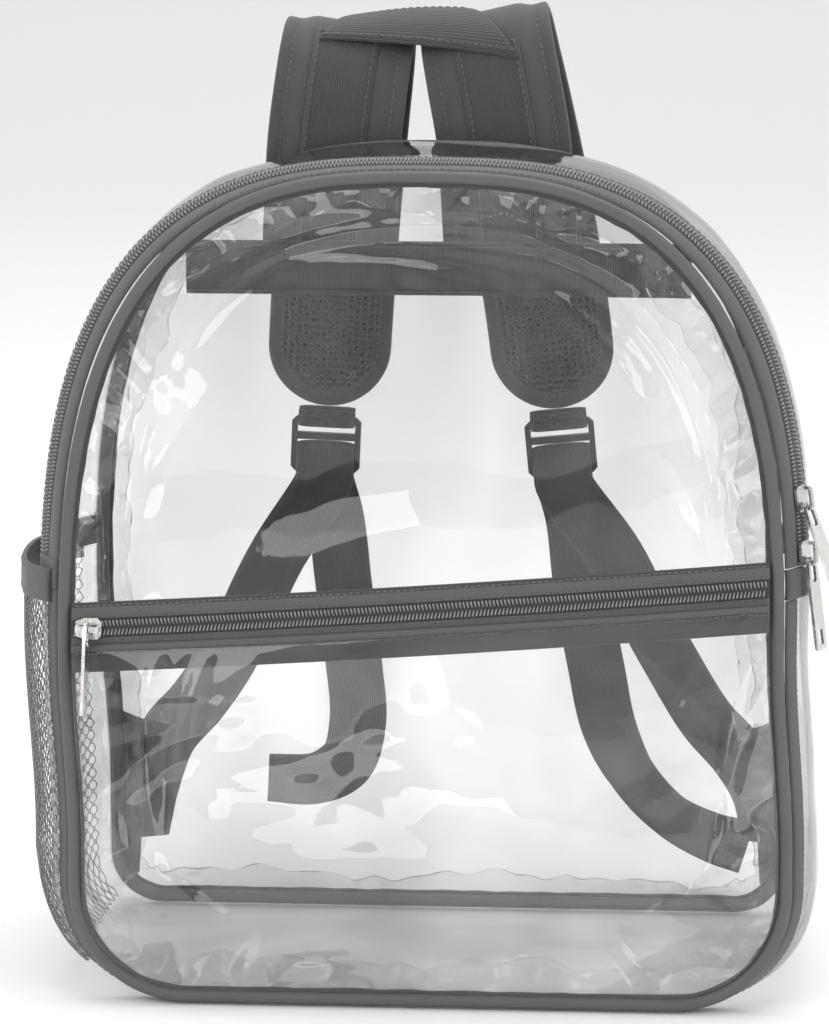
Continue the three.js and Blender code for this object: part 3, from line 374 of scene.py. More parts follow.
def piping_ring(name, loop, y_at):
    """A closed cord round an outline, a little uneven in thickness, with a pinch along its seam."""
    turns, sides = 640, 16
    turn = np.arange(turns) / turns
    x, z, out_x, out_z = on_rim(loop, turn)
    angle = np.arange(sides) / sides * 2 * math.pi
    pinch = 1 - 0.1 * np.cos(angle - 0.6) ** 8
    radius = piping_radius * (1 + 0.025 * np.sin(turn * 2 * math.pi * 61) * np.sin(turn * 2 * math.pi * 17))
    swell = radius[:, None] * pinch[None, :]
    points = np.stack([
        x[:, None] + out_x[:, None] * np.cos(angle) * swell,
        y_at(z)[:, None] + np.sin(angle) * swell,
        z[:, None] + out_z[:, None] * np.cos(angle) * swell,
    ], -1)
    uv = np.stack(np.broadcast_arrays(
        angle[None, :] * piping_radius,
        (turn * loop["length"])[:, None],
    ), -1)
    return make_piece(name, points.reshape(-1, 3), grid_faces(turns, sides, True, True), uv.reshape(-1, 2))


finish_piece(piping_ring("front_piping_cord", front_rim, front_y), piping_finish, ["front_piping"])
finish_piece(
    piping_ring("back_piping_cord", back_rim, lambda z: np.full_like(z, back_y)),
    piping_finish,
    ["back_piping"],
)

# Clear panels
# Soft clear vinyl, welded and sewn into the piping, pulled flat in the middle and puckered
# towards its seams. Each sheet is a thin closed solid with its own folds.
film_thickness = 0.6
sheet_thickness = 1.0
front_crown, back_crown = 6, 3
panel_inset = piping_radius + 0.6


def edge_share(x, z, corner):
    """1 at the outline and 0 in the middle of a panel."""
    up = z - edge_lift - spring_height
    low_power = math.log(0.5) / math.log(1 - 0.29 * corner / spring_height)
    power = np.where(up > 0, dome_power, low_power)
    reach = np.where(up > 0, bag_height - spring_height, spring_height)
    across = np.abs(x / half_width) + 1e-6
    return (across ** power + (np.abs(up / reach) + 1e-6) ** power) ** (1 / power)


front_dents = [
    {"across": -0.35, "up": 0.9, "reach": 0.3, "depth": 0.8},
    {"across": 0.3, "up": 0.91, "reach": 0.26, "depth": 0.9},
    {"across": -0.78, "up": 0.66, "reach": 0.22, "depth": 0.7},
    {"across": 0.8, "up": 0.62, "reach": 0.24, "depth": 0.8},
    {"across": 0.1, "up": 0.72, "reach": 0.3, "depth": 0.35},
    {"across": -0.4, "up": 0.1, "reach": 0.3, "depth": 0.6},
    {"across": 0.55, "up": 0.12, "reach": 0.3, "depth": 0.5},
]


def dent_at(x, z):
    total = np.zeros_like(x)
    for dent in front_dents:
        dx, dz = x - dent["across"] * half_width, z - edge_lift - dent["up"] * bag_height
        reach = dent["reach"] * half_width
        total += dent["depth"] * front_crown * np.exp(-(dx * dx + dz * dz) / reach ** 2)
    return total


def front_layer_y(x, z, lift=0.0):
    """The front face of the front panel, or a layer that lies before it."""
    crown = front_crown * np.maximum(0, 1 - edge_share(x, z, front_corner) ** 2)
    return front_y(z) - crown - lift


def back_face_y(x, z):
    return back_y + sheet_thickness + back_crown * np.maximum(0, 1 - edge_share(x, z, back_corner) ** 2)


def ridges(x, z, folds):
    """Sum of long soft folds: place, angle of the fold in degrees, length, width and height."""
    total = np.zeros_like(x)
    for fold_x, fold_z, angle, length, width, height in folds:
        a = math.radians(angle)
        along = (x - fold_x) * math.cos(a) + (z - fold_z) * math.sin(a)
        aside = -(x - fold_x) * math.sin(a) + (z - fold_z) * math.cos(a)
        aside = aside + 0.12 * length * (along / length) ** 2
        total += height * np.exp(-(along / length) ** 2 - (aside / width) ** 2)
    return total


def puckers(turn, inset, seed, pitch, reach, height):
    """Short folds square to a seam, uneven in size, that die out away from it."""
    rng = np.random.default_rng(seed)
    total = np.zeros(np.broadcast(turn, inset).shape)
    for octave in range(4):
        waves = max(3, round(front_rim["length"] / pitch / 1.7 ** octave))
        phase, lean = rng.uniform(0, 2 * math.pi), rng.uniform(-0.02, 0.02)
        gain = np.interp(turn % 1, np.linspace(0, 1, 41), rng.uniform(0, 1, 41)) ** 2
        total += gain * np.sin((turn + lean * inset / 40) * 2 * math.pi * waves + phase) / 1.5
    return height * total * np.exp(-inset / reach) * np.clip(inset / 3, 0, 1)


def skin_solid(name, middle, thickness, uv, soft=True, ring=False):
    """A thin closed solid on either side of a grid of middle points, whose rows may be rings."""
    over = np.roll(middle, -1, 1) - np.roll(middle, 1, 1) if ring else np.gradient(middle, axis=1)
    half = unit(np.cross(np.gradient(middle, axis=0), over)) * thickness / 2
    return between_faces(name, middle + half, middle - half, uv, soft, ring)


def between_faces(name, outer, inner, uv, soft=True, ring=False):
    rows, columns = outer.shape[:2]
    count = rows * columns
    top = grid_faces(rows, columns, wrap_columns=ring)
    ids = np.arange(count).reshape(rows, columns)
    if ring:
        walls = np.concatenate([
            np.stack([loop, loop + count, np.roll(loop, -1) + count, np.roll(loop, -1)], -1)
            for loop in (ids[0], ids[-1, ::-1])
        ])
    else:
        border = np.concatenate([ids[0, :-1], ids[:-1, -1], ids[-1, :0:-1], ids[:0:-1, 0]])
        ahead = np.roll(border, -1)
        walls = np.stack([border, border + count, ahead + count, ahead], -1)
    faces = np.concatenate([top, top[:, ::-1] + count, walls])
    points = np.concatenate([outer.reshape(-1, 3), inner.reshape(-1, 3)])
    middle = points.mean(0)
    volume = np.einsum("ij,ij->i", points[faces[:, 0]] - middle, np.cross(
        points[faces[:, 1]] - points[faces[:, 0]], points[faces[:, 3]] - points[faces[:, 0]])).sum()
    if volume < 0:
        faces = faces[:, ::-1]
    flat_uv = uv.reshape(-1, 2)
    return make_piece(name, points, faces, np.concatenate([flat_uv, flat_uv]), soft)


film_tint = (0.978, 0.98, 0.982)
film_ior = 1.48


def film_material(name, crease_depth):
    """Clear vinyl: light goes straight through, a little greyer in soft upright clouds, and both
    of its faces shine alike. Waves, and creases where it is crumpled, stir the shine."""
    film = bpy.data.materials.new(name)
    film.use_nodes = True
    tree = film.node_tree
    tree.nodes.remove(tree.nodes["Principled BSDF"])
    spot = tree.nodes.new("ShaderNodeNewGeometry")
    upright = tree.nodes.new("ShaderNodeMapping")
    upright.inputs["Scale"].default_value = (1, 1, 0.35)
    cloud = soft_noise(tree, 17, 1)
    clear = spread(tree, cloud.outputs["Fac"], 0.36, 0.62, 0.94, 1)
    tinted = tree.nodes.new("ShaderNodeVectorMath")
    tinted.operation = "SCALE"
    tinted.inputs[0].default_value = film_tint
    ripple = soft_noise(tree, 26, 1)
    height = ripple.outputs["Fac"]
    if crease_depth:
        creases = tree.nodes.new("ShaderNodeTexVoronoi")
        creases.feature = "DISTANCE_TO_EDGE"
        creases.inputs["Scale"].default_value = 55
        tree.links.new(spot.outputs["Position"], creases.inputs["Vector"])
        near = sum_node(tree, "MINIMUM", creases.outputs["Distance"], 0.16)
        height = sum_node(tree, "MULTIPLY_ADD", near, crease_depth, height)
    wavy = tree.nodes.new("ShaderNodeBump")
    wavy.inputs["Distance"].default_value = 0.0012
    # Fresnel takes a back face for a way out of glass, so it gets the inverse there
    shine = tree.nodes.new("ShaderNodeFresnel")
    ior = sum_node(tree, "MULTIPLY_ADD", spot.outputs["Backfacing"], 1 / film_ior - film_ior, film_ior)
    open_film = tree.nodes.new("ShaderNodeBsdfTransparent")
    gloss = tree.nodes.new("ShaderNodeBsdfGlossy")
    gloss.inputs["Roughness"].default_value = 0
    coated = tree.nodes.new("ShaderNodeMixShader")
    link_nodes(tree, [
        (spot.outputs["Position"], upright.inputs["Vector"]),
        (upright.outputs["Vector"], cloud.inputs["Vector"]),
        (spot.outputs["Position"], ripple.inputs["Vector"]),
        (clear.outputs["Result"], tinted.inputs["Scale"]),
        (tinted.outputs[0], open_film.inputs["Color"]),
        (height, wavy.inputs["Height"]),
        (wavy.outputs["Normal"], shine.inputs["Normal"]),
        (wavy.outputs["Normal"], gloss.inputs["Normal"]),
        (ior, shine.inputs["IOR"]),
        (shine.outputs[0], coated.inputs["Fac"]),
        (open_film.outputs[0], coated.inputs[1]),
        (gloss.outputs[0], coated.inputs[2]),
        (coated.outputs[0], tree.nodes["Material Output"].inputs["Surface"]),
    ])
    return film


clear_film = film_material("clear_film", 0)


def round_panel(name, loop, y_at, folds_at, rings, turns):
    """A whole panel in rings from its middle out to the seam."""
    share = np.sin(np.linspace(0.0004, 1, rings) * math.pi / 2)[:, None]
    turn = (np.arange(turns) / turns)[None, :]
    x, z, out_x, out_z = on_rim(loop, turn)
    x, z = x - out_x * panel_inset, z - out_z * panel_inset
    middle_z = edge_lift + spring_height * 0.9
    reach = np.hypot(x, z - middle_z)
    x, z = x * share, middle_z + (z - middle_z) * share
    inset = reach * (1 - share)
    points = np.stack([x, y_at(x, z) + folds_at(x, z, turn, inset), z], -1)
    return skin_solid(name, points, film_thickness, points[..., [0, 2]], ring=True)


front_folds = [
    (-6, 312, 4, 70, 3.2, -2.4),
    (12, 304, -6, 62, 3.6, 2.6),
    (-48, 308, 14, 36, 3, 2.2),
    (44, 306, -16, 34, 2.8, -2.2),
    (-20, 296, -3, 46, 5, 1.6),
    (66, 290, -34, 34, 2.6, 2.6),
    (80, 276, -44, 30, 2.4, -2.2),
    (72, 266, -50, 26, 3, 1.8),
    (96, 262, -58, 30, 2.4, 2.2),
    (110, 236, -70, 32, 2.8, 2.2),
    (118, 218, -76, 36, 2.4, -1.9),
    (123, 196, -83, 34, 2.4, 2.0),
    (108, 206, -64, 26, 3.4, -1.4),
    (-84, 276, 46, 28, 2.6, 1.8),
    (-104, 252, 60, 30, 2.8, -1.8),
    (-112, 232, 74, 34, 2.4, 2.0),
    (-119, 206, 82, 30, 2.6, -1.6),
    (-106, 214, 66, 30, 5, 1.2),
    (-30, 262, 80, 26, 14, 1.1),
    (34, 226, 76, 46, 13, 1.5),
    (4, 236, 70, 52, 18, -1.3),
    (-70, 210, 62, 38, 16, 1.2),
    (86, 190, 118, 26, 10, 1.2),
    (-10, 190, 8, 70, 13, 0.9),
]
finish_piece(round_panel(
    "front_window",
    front_rim,
    lambda x, z: front_layer_y(x, z) + sheet_thickness / 2
    + dent_at(x, z) * np.maximum(0, 1 - edge_share(x, z, front_corner) ** 8),
    lambda x, z, turn, inset: ridges(x, z, front_folds) * np.clip(inset / 6, 0, 1)
    + puckers(turn, inset, 11, 15, 16, 1.5),
    64,
    360,
), clear_film, ["front_panel"])

back_folds = [
    (-60, 200, 72, 70, 22, 1.2),
    (50, 170, 60, 70, 24, -1.3),
    (0, 110, 14, 90, 24, 1.2),
    (-80, 60, 150, 50, 10, 1.4),
    (86, 66, 30, 44, 9, -1.4),
    (20, 240, 100, 50, 20, 0.9),
]
finish_piece(round_panel(
    "back_window",
    back_rim,
    lambda x, z: back_face_y(x, z) - sheet_thickness / 2,
    lambda x, z, turn, inset: ridges(x, z, back_folds) * np.clip(inset / 6, 0, 1)
    + puckers(turn, inset, 12, 17, 14, 1.2),
    40,
    280,
), clear_film, ["back_panel"])

# Gusset
# The clear walls between the two panels: one sheet over the top behind the zip and one round the
# sides and the floor, pressed flat where the bag stands.
side_swell, top_swell, floor_swell = 13, 5, 4.2
tape_start = piping_radius + 0.3
tape_width, tape_thickness = 5.8, 1.4
chain_width, chain_thickness = 6, 2.4
seam_gap = 0.4
chain_start = tape_start + tape_width + seam_gap
rear_tape_start = chain_start + chain_width + seam_gap
upper_sheet_start = rear_tape_start + tape_width + seam_gap
side_band_low, side_band_high = 165, 177
swell_shares = np.array([
    (0, 0), (0.05, 0.46), (0.13, 0.86), (0.2, 0.96), (0.33, 1), (0.6, 1), (0.8, 0.82), (0.93, 0.4), (1, 0),
])
swell_places = np.linspace(-0.2, 1.2, 561)
swell_curve = np.interp(swell_places, *swell_shares.T)
swell_filter = np.hanning(27)[1:-1]
swell_curve = np.convolve(np.pad(swell_curve, 12, mode="edge"), swell_filter / swell_filter.sum(), "valid")


def gusset_spot(turn, run, lift=0.0, thickness=sheet_thickness):
    """A point in the middle of the gusset's thickness, run millimetres behind the front edge."""
    front_x, front_z, front_nx, front_nz = on_rim(front_rim, turn)
    back_x, back_z, back_nx, back_nz = on_rim(back_rim, turn)
    share = run / (back_y - front_y(front_z))
    out_x, out_z = lerp(front_nx, back_nx, share), lerp(front_nz, back_nz, share)
    size = np.hypot(out_x, out_z)
    out_x, out_z = out_x / size, out_z / size
    swell = side_swell * np.abs(out_x) ** 1.5 + top_swell * np.maximum(0, out_z)
    swell = swell + floor_swell * np.maximum(0, -out_z) ** 2
    rise = swell * np.interp(share, swell_places, swell_curve) + lift
    x, z = lerp(front_x, back_x, share) + out_x * rise, lerp(front_z, back_z, share) + out_z * rise
    return np.stack(np.broadcast_arrays(x, front_y(front_z) + run, np.maximum(z, thickness / 2)), -1)


def turn_at(height):
    """The share of the way up the right side at a height."""
    right = front_rim["turn"] <= 0.5
    turn = front_rim["turn"][right] + 1e-9 * np.arange(right.sum())
    return float(np.interp(height, front_rim["z"][right], turn))


def depth_at(turn):
    return back_y - front_y(on_rim(front_rim, turn)[1])


band_low, band_high = turn_at(side_band_low), turn_at(side_band_high)
zip_from, zip_to = band_high + 0.0004, 1 - band_high - 0.0004
lower_from, lower_to = 1 - band_low + 0.0004, 1 + band_low - 0.0004


def gusset_sheet(name, turn_from, turn_to, start, end, thickness, steps, columns, wave=None):
    """A sheet across the gusset, from start behind the front seam to end before the back one."""
    turn = np.linspace(turn_from, turn_to, steps)[:, None]
    share = np.linspace(0, 1, columns)[None, :]
    run = lerp(start, depth_at(turn) - end, share)
    lift = wave(turn, share) if wave else 0.0
    points = gusset_spot(turn, run, lift, thickness)
    uv = np.stack(np.broadcast_arrays(run, turn * front_rim["length"]), -1)
    return skin_solid(name, points, thickness, uv)


def gusset_wave(seed, height):
    """Broad bulges and dents, calm at the seams and flat where the bag stands."""
    rng = np.random.default_rng(seed)
    spots = [(rng.uniform(0, 2), rng.uniform(0.1, 0.9), rng.uniform(0.006, 0.03), rng.uniform(0.12, 0.4),
              rng.uniform(-1, 1)) for _ in range(90)]

    def wave(turn, share):
        total = np.zeros(np.broadcast(turn, share).shape)
        for spot_turn, spot_share, wide, deep, size in spots:
            total += size * np.exp(-((turn - spot_turn) / wide) ** 2 - ((share - spot_share) / deep) ** 2)
        edges = np.clip(np.minimum(share, 1 - share) / 0.08, 0, 1)
        flat = np.clip((on_rim(front_rim, turn)[1] - 12) / 25, 0.04, 1)
        return height * total * edges * flat

    return wave


finish_piece(gusset_sheet(
    "top_gusset_sheet", zip_from, zip_to, upper_sheet_start, tape_start, film_thickness, 280, 24,
    gusset_wave(5, 1.1),
), clear_film, ["gusset_upper"])
finish_piece(gusset_sheet(
    "side_gusset_sheet", lower_from, lower_to, chain_start, tape_start, film_thickness, 300, 34,
    gusset_wave(7, 1.3),
), clear_film, ["gusset_lower"])

# Seam allowances
# What is left of the clear sheets inside the seams stands loose within the piping, crumpled, with
# an uneven cut edge.
creased_film = film_material("creased_film", 4.5)


def wander(turn, seed, waves, strength):
    """A share near 1 that drifts once round the bag, in uneven waves of a few lengths."""
    rng = np.random.default_rng(seed)
    total = np.ones_like(turn)
    for count in waves:
        phase, bend = rng.uniform(0, 2 * math.pi, 2)
        drift = turn + 0.35 / count * np.sin(turn * 2 * math.pi * 3 + bend)
        total = total + strength * rng.uniform(0.4, 1) * np.sin(drift * 2 * math.pi * count + phase)
        strength = strength * 0.6
    return total


def allowance(name, loop, y_at, reach, deep, seed):
    """A crumpled strip that leans from the seam towards the middle of the bag."""
    turn = (np.arange(620) / 620)[None, :]
    share = np.linspace(0, 1, 10)[:, None]
    x, z, out_x, out_z = on_rim(loop, turn)
    inset = 2 + reach * wander(turn, seed, (5, 14, 37, 71), 0.24) * share
    waves = wander(turn + share * 0.004, seed + 1, (13, 37, 83), 0.9) - 1
    away = deep * (0.6 + share) * share + deep * waves * share
    x, z = x - out_x * inset, z - out_z * inset
    y = y_at(x, z) + np.sign(deep) * np.maximum(np.abs(away), 0.3)
    uv = np.stack(np.broadcast_arrays(inset, turn * loop["length"]), -1)
    return skin_solid(name, np.stack([x, y, z], -1), film_thickness, uv, ring=True)


finish_piece(allowance(
    "front_seam_allowance", front_rim, lambda x, z: front_layer_y(x, z) + 2.2, 13, 3.2, 21,
), creased_film)
finish_piece(allowance(
    "back_seam_allowance", back_rim, lambda x, z: back_face_y(x, z) - 2.6, 11, -3.0, 31,
), creased_film)

# Stitching
# Polyester thread in short lengths that dip into the cloth at both ends. Every sewn piece below
# gets its rows from here.
thread_colour = (0.11, 0.11, 0.11)
thread, tree, shader = start_material("thread", thread_colour, 0.45)
fade = put_effect(tree, blotches, Size_mm=8, Strength=0.3)
tint(tree, shader, thread_colour, fade.outputs["Shade"])
emboss(tree, shader, fade.outputs["Height"], 0.05)


def bead(profile, sides=6):
    """Points and quads of a bar along X, from rows of place, radius and lift."""
    angle = np.arange(sides) / sides * 2 * math.pi
    points = np.concatenate([np.stack([
        np.full(sides, x), r * np.cos(angle), r * np.sin(angle) + lift,
    ], -1) for x, r, lift in profile])
    tube = grid_faces(len(profile), sides, wrap_columns=True)
    caps = [[0, 1, 2, 3], [0, 3, 4, 5]] if sides == 6 else [[0, 1, 2, 3]]
    caps = np.array(caps)
    return points, np.concatenate([tube, caps[:, ::-1], caps + (len(profile) - 1) * sides])


stitch_bead = bead([(-0.5, 0.3, -0.5), (-0.36, 0.85, 0.1), (0, 1, 0.4), (0.36, 0.85, 0.1), (0.5, 0.3, -0.5)])


def copies(template, origins, x_axes, y_axes, z_axes):
    """One mesh of the template at every origin, along its own scaled axes."""
    points, faces = template
    spots = origins[:, None] + points[None, :, :1] * x_axes[:, None]
    spots = spots + points[None, :, 1:2] * y_axes[:, None] + points[None, :, 2:] * z_axes[:, None]
    ids = faces[None] + (np.arange(len(origins)) * len(points))[:, None, None]
    return spots.reshape(-1, 3), ids.reshape(-1, 4)


def sewn(name, rows, pitch=2.9, wide=0.34, soft=True, body="bag"):
    """Stitches along rows, each a line of points and the way out of the cloth at each."""
    parts = []
    for path, outs in rows:
        far = np.concatenate([[0], np.cumsum(np.linalg.norm(np.diff(path, axis=0), axis=1))])
        count = max(1, int(far[-1] / pitch))
        middle = (np.arange(count) + 0.5) / count * far[-1]
        spot, ahead, behind, out = (
            np.stack([np.interp(at, far, line[:, k]) for k in range(3)], -1)
            for at, line in ((middle, path), (middle + 0.4, path), (middle - 0.4, path), (middle, outs))
        )
        along = unit(ahead - behind)
        out = unit(out)
        parts.append((spot, along * pitch * 0.8, unit(np.cross(out, along)) * wide, out * wide * 0.8))
    points, faces = copies(stitch_bead, *(np.concatenate(column) for column in zip(*parts)))
    piece = make_piece(name, points, faces, None, soft)
    return finish_piece(piece, thread, body=body)


# Tapes, bands and edge flanges
# Narrow woven polyester: binding that turns in beside the piping, the tapes of the main zip, the
# tape beside the lower edge and the two bands across the sides where the zip ends.
# Weave: Height drives the bump. Shade is painted shade in the grooves between yarns and a painted highlight
# on their tops, with Contrast as its strength.
weave, weave_in, weave_out = effect_group(
    "weave",
    {"Across mm": 1.0, "Along mm": 1.0, "Contrast": 0.3},
    {"Shade": "NodeSocketFloat", "Height": "NodeSocketFloat"},
)
cloth_map = weave.nodes.new("ShaderNodeUVMap")
cloth_map.uv_map = "cloth"
cloth_split = weave.nodes.new("ShaderNodeSeparateXYZ")
weave.links.new(cloth_map.outputs["UV"], cloth_split.inputs[0])
yarn = sum_node(weave, "DIVIDE", cloth_split.outputs["X"], weave_in.outputs["Across mm"])
pick = sum_node(weave, "DIVIDE", cloth_split.outputs["Y"], weave_in.outputs["Along mm"])
offset = sum_node(weave, "MULTIPLY", sum_node(weave, "MODULO", sum_node(weave, "FLOOR", yarn), 2.0), 0.5)
ribs = sum_node(weave, "ABSOLUTE", sum_node(weave, "SINE", sum_node(weave, "MULTIPLY", yarn, math.pi)))
knots = sum_node(weave, "ABSOLUTE", sum_node(
    weave, "SINE", sum_node(weave, "MULTIPLY", sum_node(weave, "ADD", pick, offset), math.pi),
))
cloth_height = sum_node(weave, "MULTIPLY", ribs, sum_node(weave, "MULTIPLY_ADD", knots, 0.5, 0.5))
# Painted shade and highlight: the colour follows the yarn height, darker low and lighter high.
painted_rib_shading = sum_node(weave, "SUBTRACT", cloth_height, 0.5)
painted_rib_shading = sum_node(weave, "MULTIPLY", painted_rib_shading, weave_in.outputs["Contrast"])
link_nodes(weave, [
    (cloth_height, weave_out.inputs["Height"]),
    (sum_node(weave, "ADD", painted_rib_shading, 1.0), weave_out.inputs["Shade"]),
])


def cloth_material(name, colour, roughness, across, along, contrast, depth, fading=0.18, sheen=0.25):
    """Woven cloth: ribs and picks from the UV map, with soft fading over them. The weave's Shade darkens the
    colour in the grooves and lightens it on the ribs: painted shade and painted highlight.
    """
    material, tree, shader = start_material(name, colour, roughness)
    shader.inputs["Sheen Weight"].default_value = sheen
    ribbed = put_effect(tree, weave, Across_mm=across, Along_mm=along, Contrast=contrast)
    faded = put_effect(tree, blotches, Size_mm=26, Strength=fading)
    tint(tree, shader, colour, sum_node(tree, "MULTIPLY", ribbed.outputs["Shade"], faded.outputs["Shade"]))
    height = sum_node(tree, "MULTIPLY_ADD", faded.outputs["Height"], 0.6, ribbed.outputs["Height"])
    emboss(tree, shader, height, depth)
    return material


tape_cloth = cloth_material("tape_cloth", (0.09, 0.09, 0.092), 0.75, 0.7, 0.9, 0.35, 0.12)
# The flange cloth is twice as dark as the tape and the piping: the binding's own black, with painted shade
# beside the piping laid into its colour.
flange_cloth_painted_shade = cloth_material("flange_cloth_painted_shade", (0.045, 0.045, 0.046), 0.8, 0.6, 0.8, 0.3, 0.1)


def soft_edges(columns, full, edge=0.35):
    """Thickness across a strip that thins to a round edge."""
    across = np.linspace(-1, 1, columns)
    return (full * (edge + (1 - edge) * (1 - np.abs(across) ** 7)))[None, :, None]


def flange(name, loop, y_at, reach, seed):
    """Binding that lies on a panel along the inner side of its piping."""
    rng = np.random.default_rng(seed)
    turn = (np.arange(600) / 600)[None, :]
    share = np.linspace(0, 1, 7)[:, None]
    x, z, out_x, out_z = on_rim(loop, turn)
    edge = rng.uniform(0.86, 1.1, 160)
    inset = 1.4 + reach * np.interp(turn, np.linspace(0, 1, 161), np.append(edge, edge[0])) * share
    x, z = x - out_x * inset, z - out_z * inset
    points = np.stack([x, y_at(x, z), z], -1)
    uv = np.stack(np.broadcast_arrays(inset, turn * loop["length"]), -1)
    return skin_solid(name, points, soft_edges(7, 0.9).reshape(-1, 1, 1), uv, ring=True)


# Flanges: real binding strips, darkened as painted shade along the inner side of the piping.
finish_piece(flange("front_flange", front_rim, lambda x, z: front_layer_y(x, z) - 0.2, 2.7, 3),
             flange_cloth_painted_shade)
finish_piece(flange("back_flange", back_rim, lambda x, z: back_face_y(x, z) + 0.5, 2.7, 4),
             flange_cloth_painted_shade)


def gusset_strip(name, turn_from, turn_to, start, width, thickness, steps, lift=0.0):
    """A tape that runs round the gusset."""
    turn = np.linspace(turn_from, turn_to, steps)[:, None]
    run = start + width * np.linspace(0, 1, 9)[None, :]
    points = gusset_spot(turn, run, lift, thickness)
    uv = np.stack(np.broadcast_arrays(run, turn * front_rim["length"]), -1)
    return skin_solid(name, points, soft_edges(9, thickness), uv)


def gusset_seam(turn, run, lift):
    """A row of stitches at a place on the gusset, with its way out."""
    turn, run = np.broadcast_arrays(np.asarray(turn, float), np.asarray(run, float))
    path = gusset_spot(turn, run, lift)
    raised = gusset_spot(turn, run, lift + 1.0)
    return path, raised - path


finish_piece(gusset_strip(
    "front_zip_tape", zip_from, zip_to, tape_start, tape_width, tape_thickness, 400,
), tape_cloth, ["main_zip_tape_front"])
finish_piece(gusset_strip(
    "rear_zip_tape", zip_from, zip_to, rear_tape_start, tape_width, tape_thickness, 400,
), tape_cloth, ["main_zip_tape_rear"])
finish_piece(gusset_strip(
    "lower_tape", lower_from, lower_to, tape_start, tape_width, tape_thickness, 420,
), tape_cloth, ["lower_edge_tape"])
upper_way = np.linspace(zip_from, zip_to, 500)
lower_way = np.linspace(lower_from, lower_to, 500)
sewn("edge_stitches", [
    gusset_seam(upper_way, tape_start + 1.1, tape_thickness / 2),
    gusset_seam(upper_way, rear_tape_start + tape_width - 1.1, tape_thickness / 2),
    gusset_seam(lower_way, tape_start + tape_width - 1.1, tape_thickness / 2),
])
for side, low, high in (("right", band_low, band_high), ("left", 1 - band_high, 1 - band_low)):
    turn = np.linspace(low, high, 15)[:, None]
    run = lerp(tape_start, depth_at(turn) - tape_start, np.linspace(0, 1, 60)[None, :])
    rise = 0.35 * np.cos(np.linspace(-1, 1, 15) * math.pi / 2)[:, None] ** 0.5
    uv = np.stack(np.broadcast_arrays(turn * front_rim["length"], run), -1)
    points = gusset_spot(turn, run, rise, tape_thickness)
    band = skin_solid(f"side_band_{side}_tape", points, tape_thickness, uv)
    finish_piece(band, tape_cloth, [f"side_band_{side}"])
    across = np.linspace(0.01, 0.99, 60)
    rows = [
        gusset_seam(spot, lerp(tape_start, depth_at(spot) - tape_start, across), tape_thickness / 2 + 0.2)
        for spot in (lerp(low, high, 0.14), lerp(low, high, 0.86))
    ]
    sewn(f"side_band_{side}_stitches", rows)

# Coil zips
# Nylon coils sewn to the tapes in two rows that mesh along the middle: the long one over the top
# of the gusset and the one across the front above the pocket. Light catches the outer bends.
coil_colour = (0.24, 0.24, 0.242)
coil_nylon, tree, shader = start_material("coil_nylon", coil_colour, 0.3)
fade = put_effect(tree, blotches, Size_mm=14, Strength=0.25)
tint(tree, shader, coil_colour, fade.outputs["Shade"])
emboss(tree, shader, fade.outputs["Height"], 0.05)
# The core strip under both coil rows is near black: the cord's own dark colour, and painted shade in the
# middle of the zip where the rows mesh.
core_cloth_painted_shade = cloth_material("zip_core", (0.03, 0.03, 0.03), 0.8, 0.6, 0.7, 0.3, 0.08)
tooth_pitch = 1.5
tooth = bead([
    (-0.5, 0.6, -0.6), (-0.45, 1, 0.2), (-0.3, 1.1, 0.55), (-0.1, 1, 0.2), (0.2, 0.8, -0.6), (0.5, 0.6, -1.2),
])


def coil_rows(name, spot_at, length):
    """Two rows of teeth; spot_at gives points from places along the zip, across it and out of it."""
    middle = np.arange(tooth_pitch, length - tooth_pitch, tooth_pitch)
    parts = []
    for side in (-1, 1):
        along = middle + (tooth_pitch / 2 if side > 0 else 0)
        centre = side * chain_width * 0.27
        spot = spot_at(along, centre, 0.75)
        inner = spot_at(along + 0.12, centre - side * 0.5, 0.75)
        inward = inner - spot_at(along - 0.12, centre + side * 0.5, 0.75)
        forward = unit(spot_at(along + 0.5, centre, 0.75) - spot_at(along - 0.5, centre, 0.75))
        out = unit(spot_at(along, centre, 1.25) - spot_at(along, centre, 0.25))
        parts.append((spot, unit(inward) * chain_width * 0.48, forward * 0.42, out * 0.55))
    points, faces = copies(tooth, *(np.concatenate(column) for column in zip(*parts)))
    return finish_piece(make_piece(name, points, faces), coil_nylon)


def main_chain_spot(along, across, lift):
    turn = zip_from + along / front_rim["length"]
    return gusset_spot(turn, chain_start + chain_width / 2 + across, lift)


finish_piece(gusset_strip(
    "main_zip_core", zip_from, zip_to, chain_start - 1.2, chain_width + 2.4, 1.0, 400,
), core_cloth_painted_shade, ["main_zip_chain"])
coil_rows("main_zip_coil", main_chain_spot, (zip_to - zip_from) * front_rim["length"])

pocket_zip_height, pocket_zip_slope = 161, 0.0725
slider_plate, gap = 1.1, 0.3
tape_lift = gap + tape_thickness / 2
chain_lift = gap + chain_thickness / 2 + slider_plate + gap
dome_share = (pocket_zip_height - edge_lift - spring_height) / (bag_height - spring_height)
pocket_reach = half_width * (1 - dome_share ** dome_power) ** (1 / dome_power) - panel_inset


def pocket_zip_z(x):
    return pocket_zip_height + pocket_zip_slope * x


def pocket_spot(x, above, lift):
    """A point before the front panel, above or below the middle of the pocket's zip."""
    x, above, lift = np.broadcast_arrays(*(np.asarray(value, float) for value in (x, above, lift)))
    z = pocket_zip_z(x) + above
    return np.stack([x, front_layer_y(x, z, lift), z], -1)


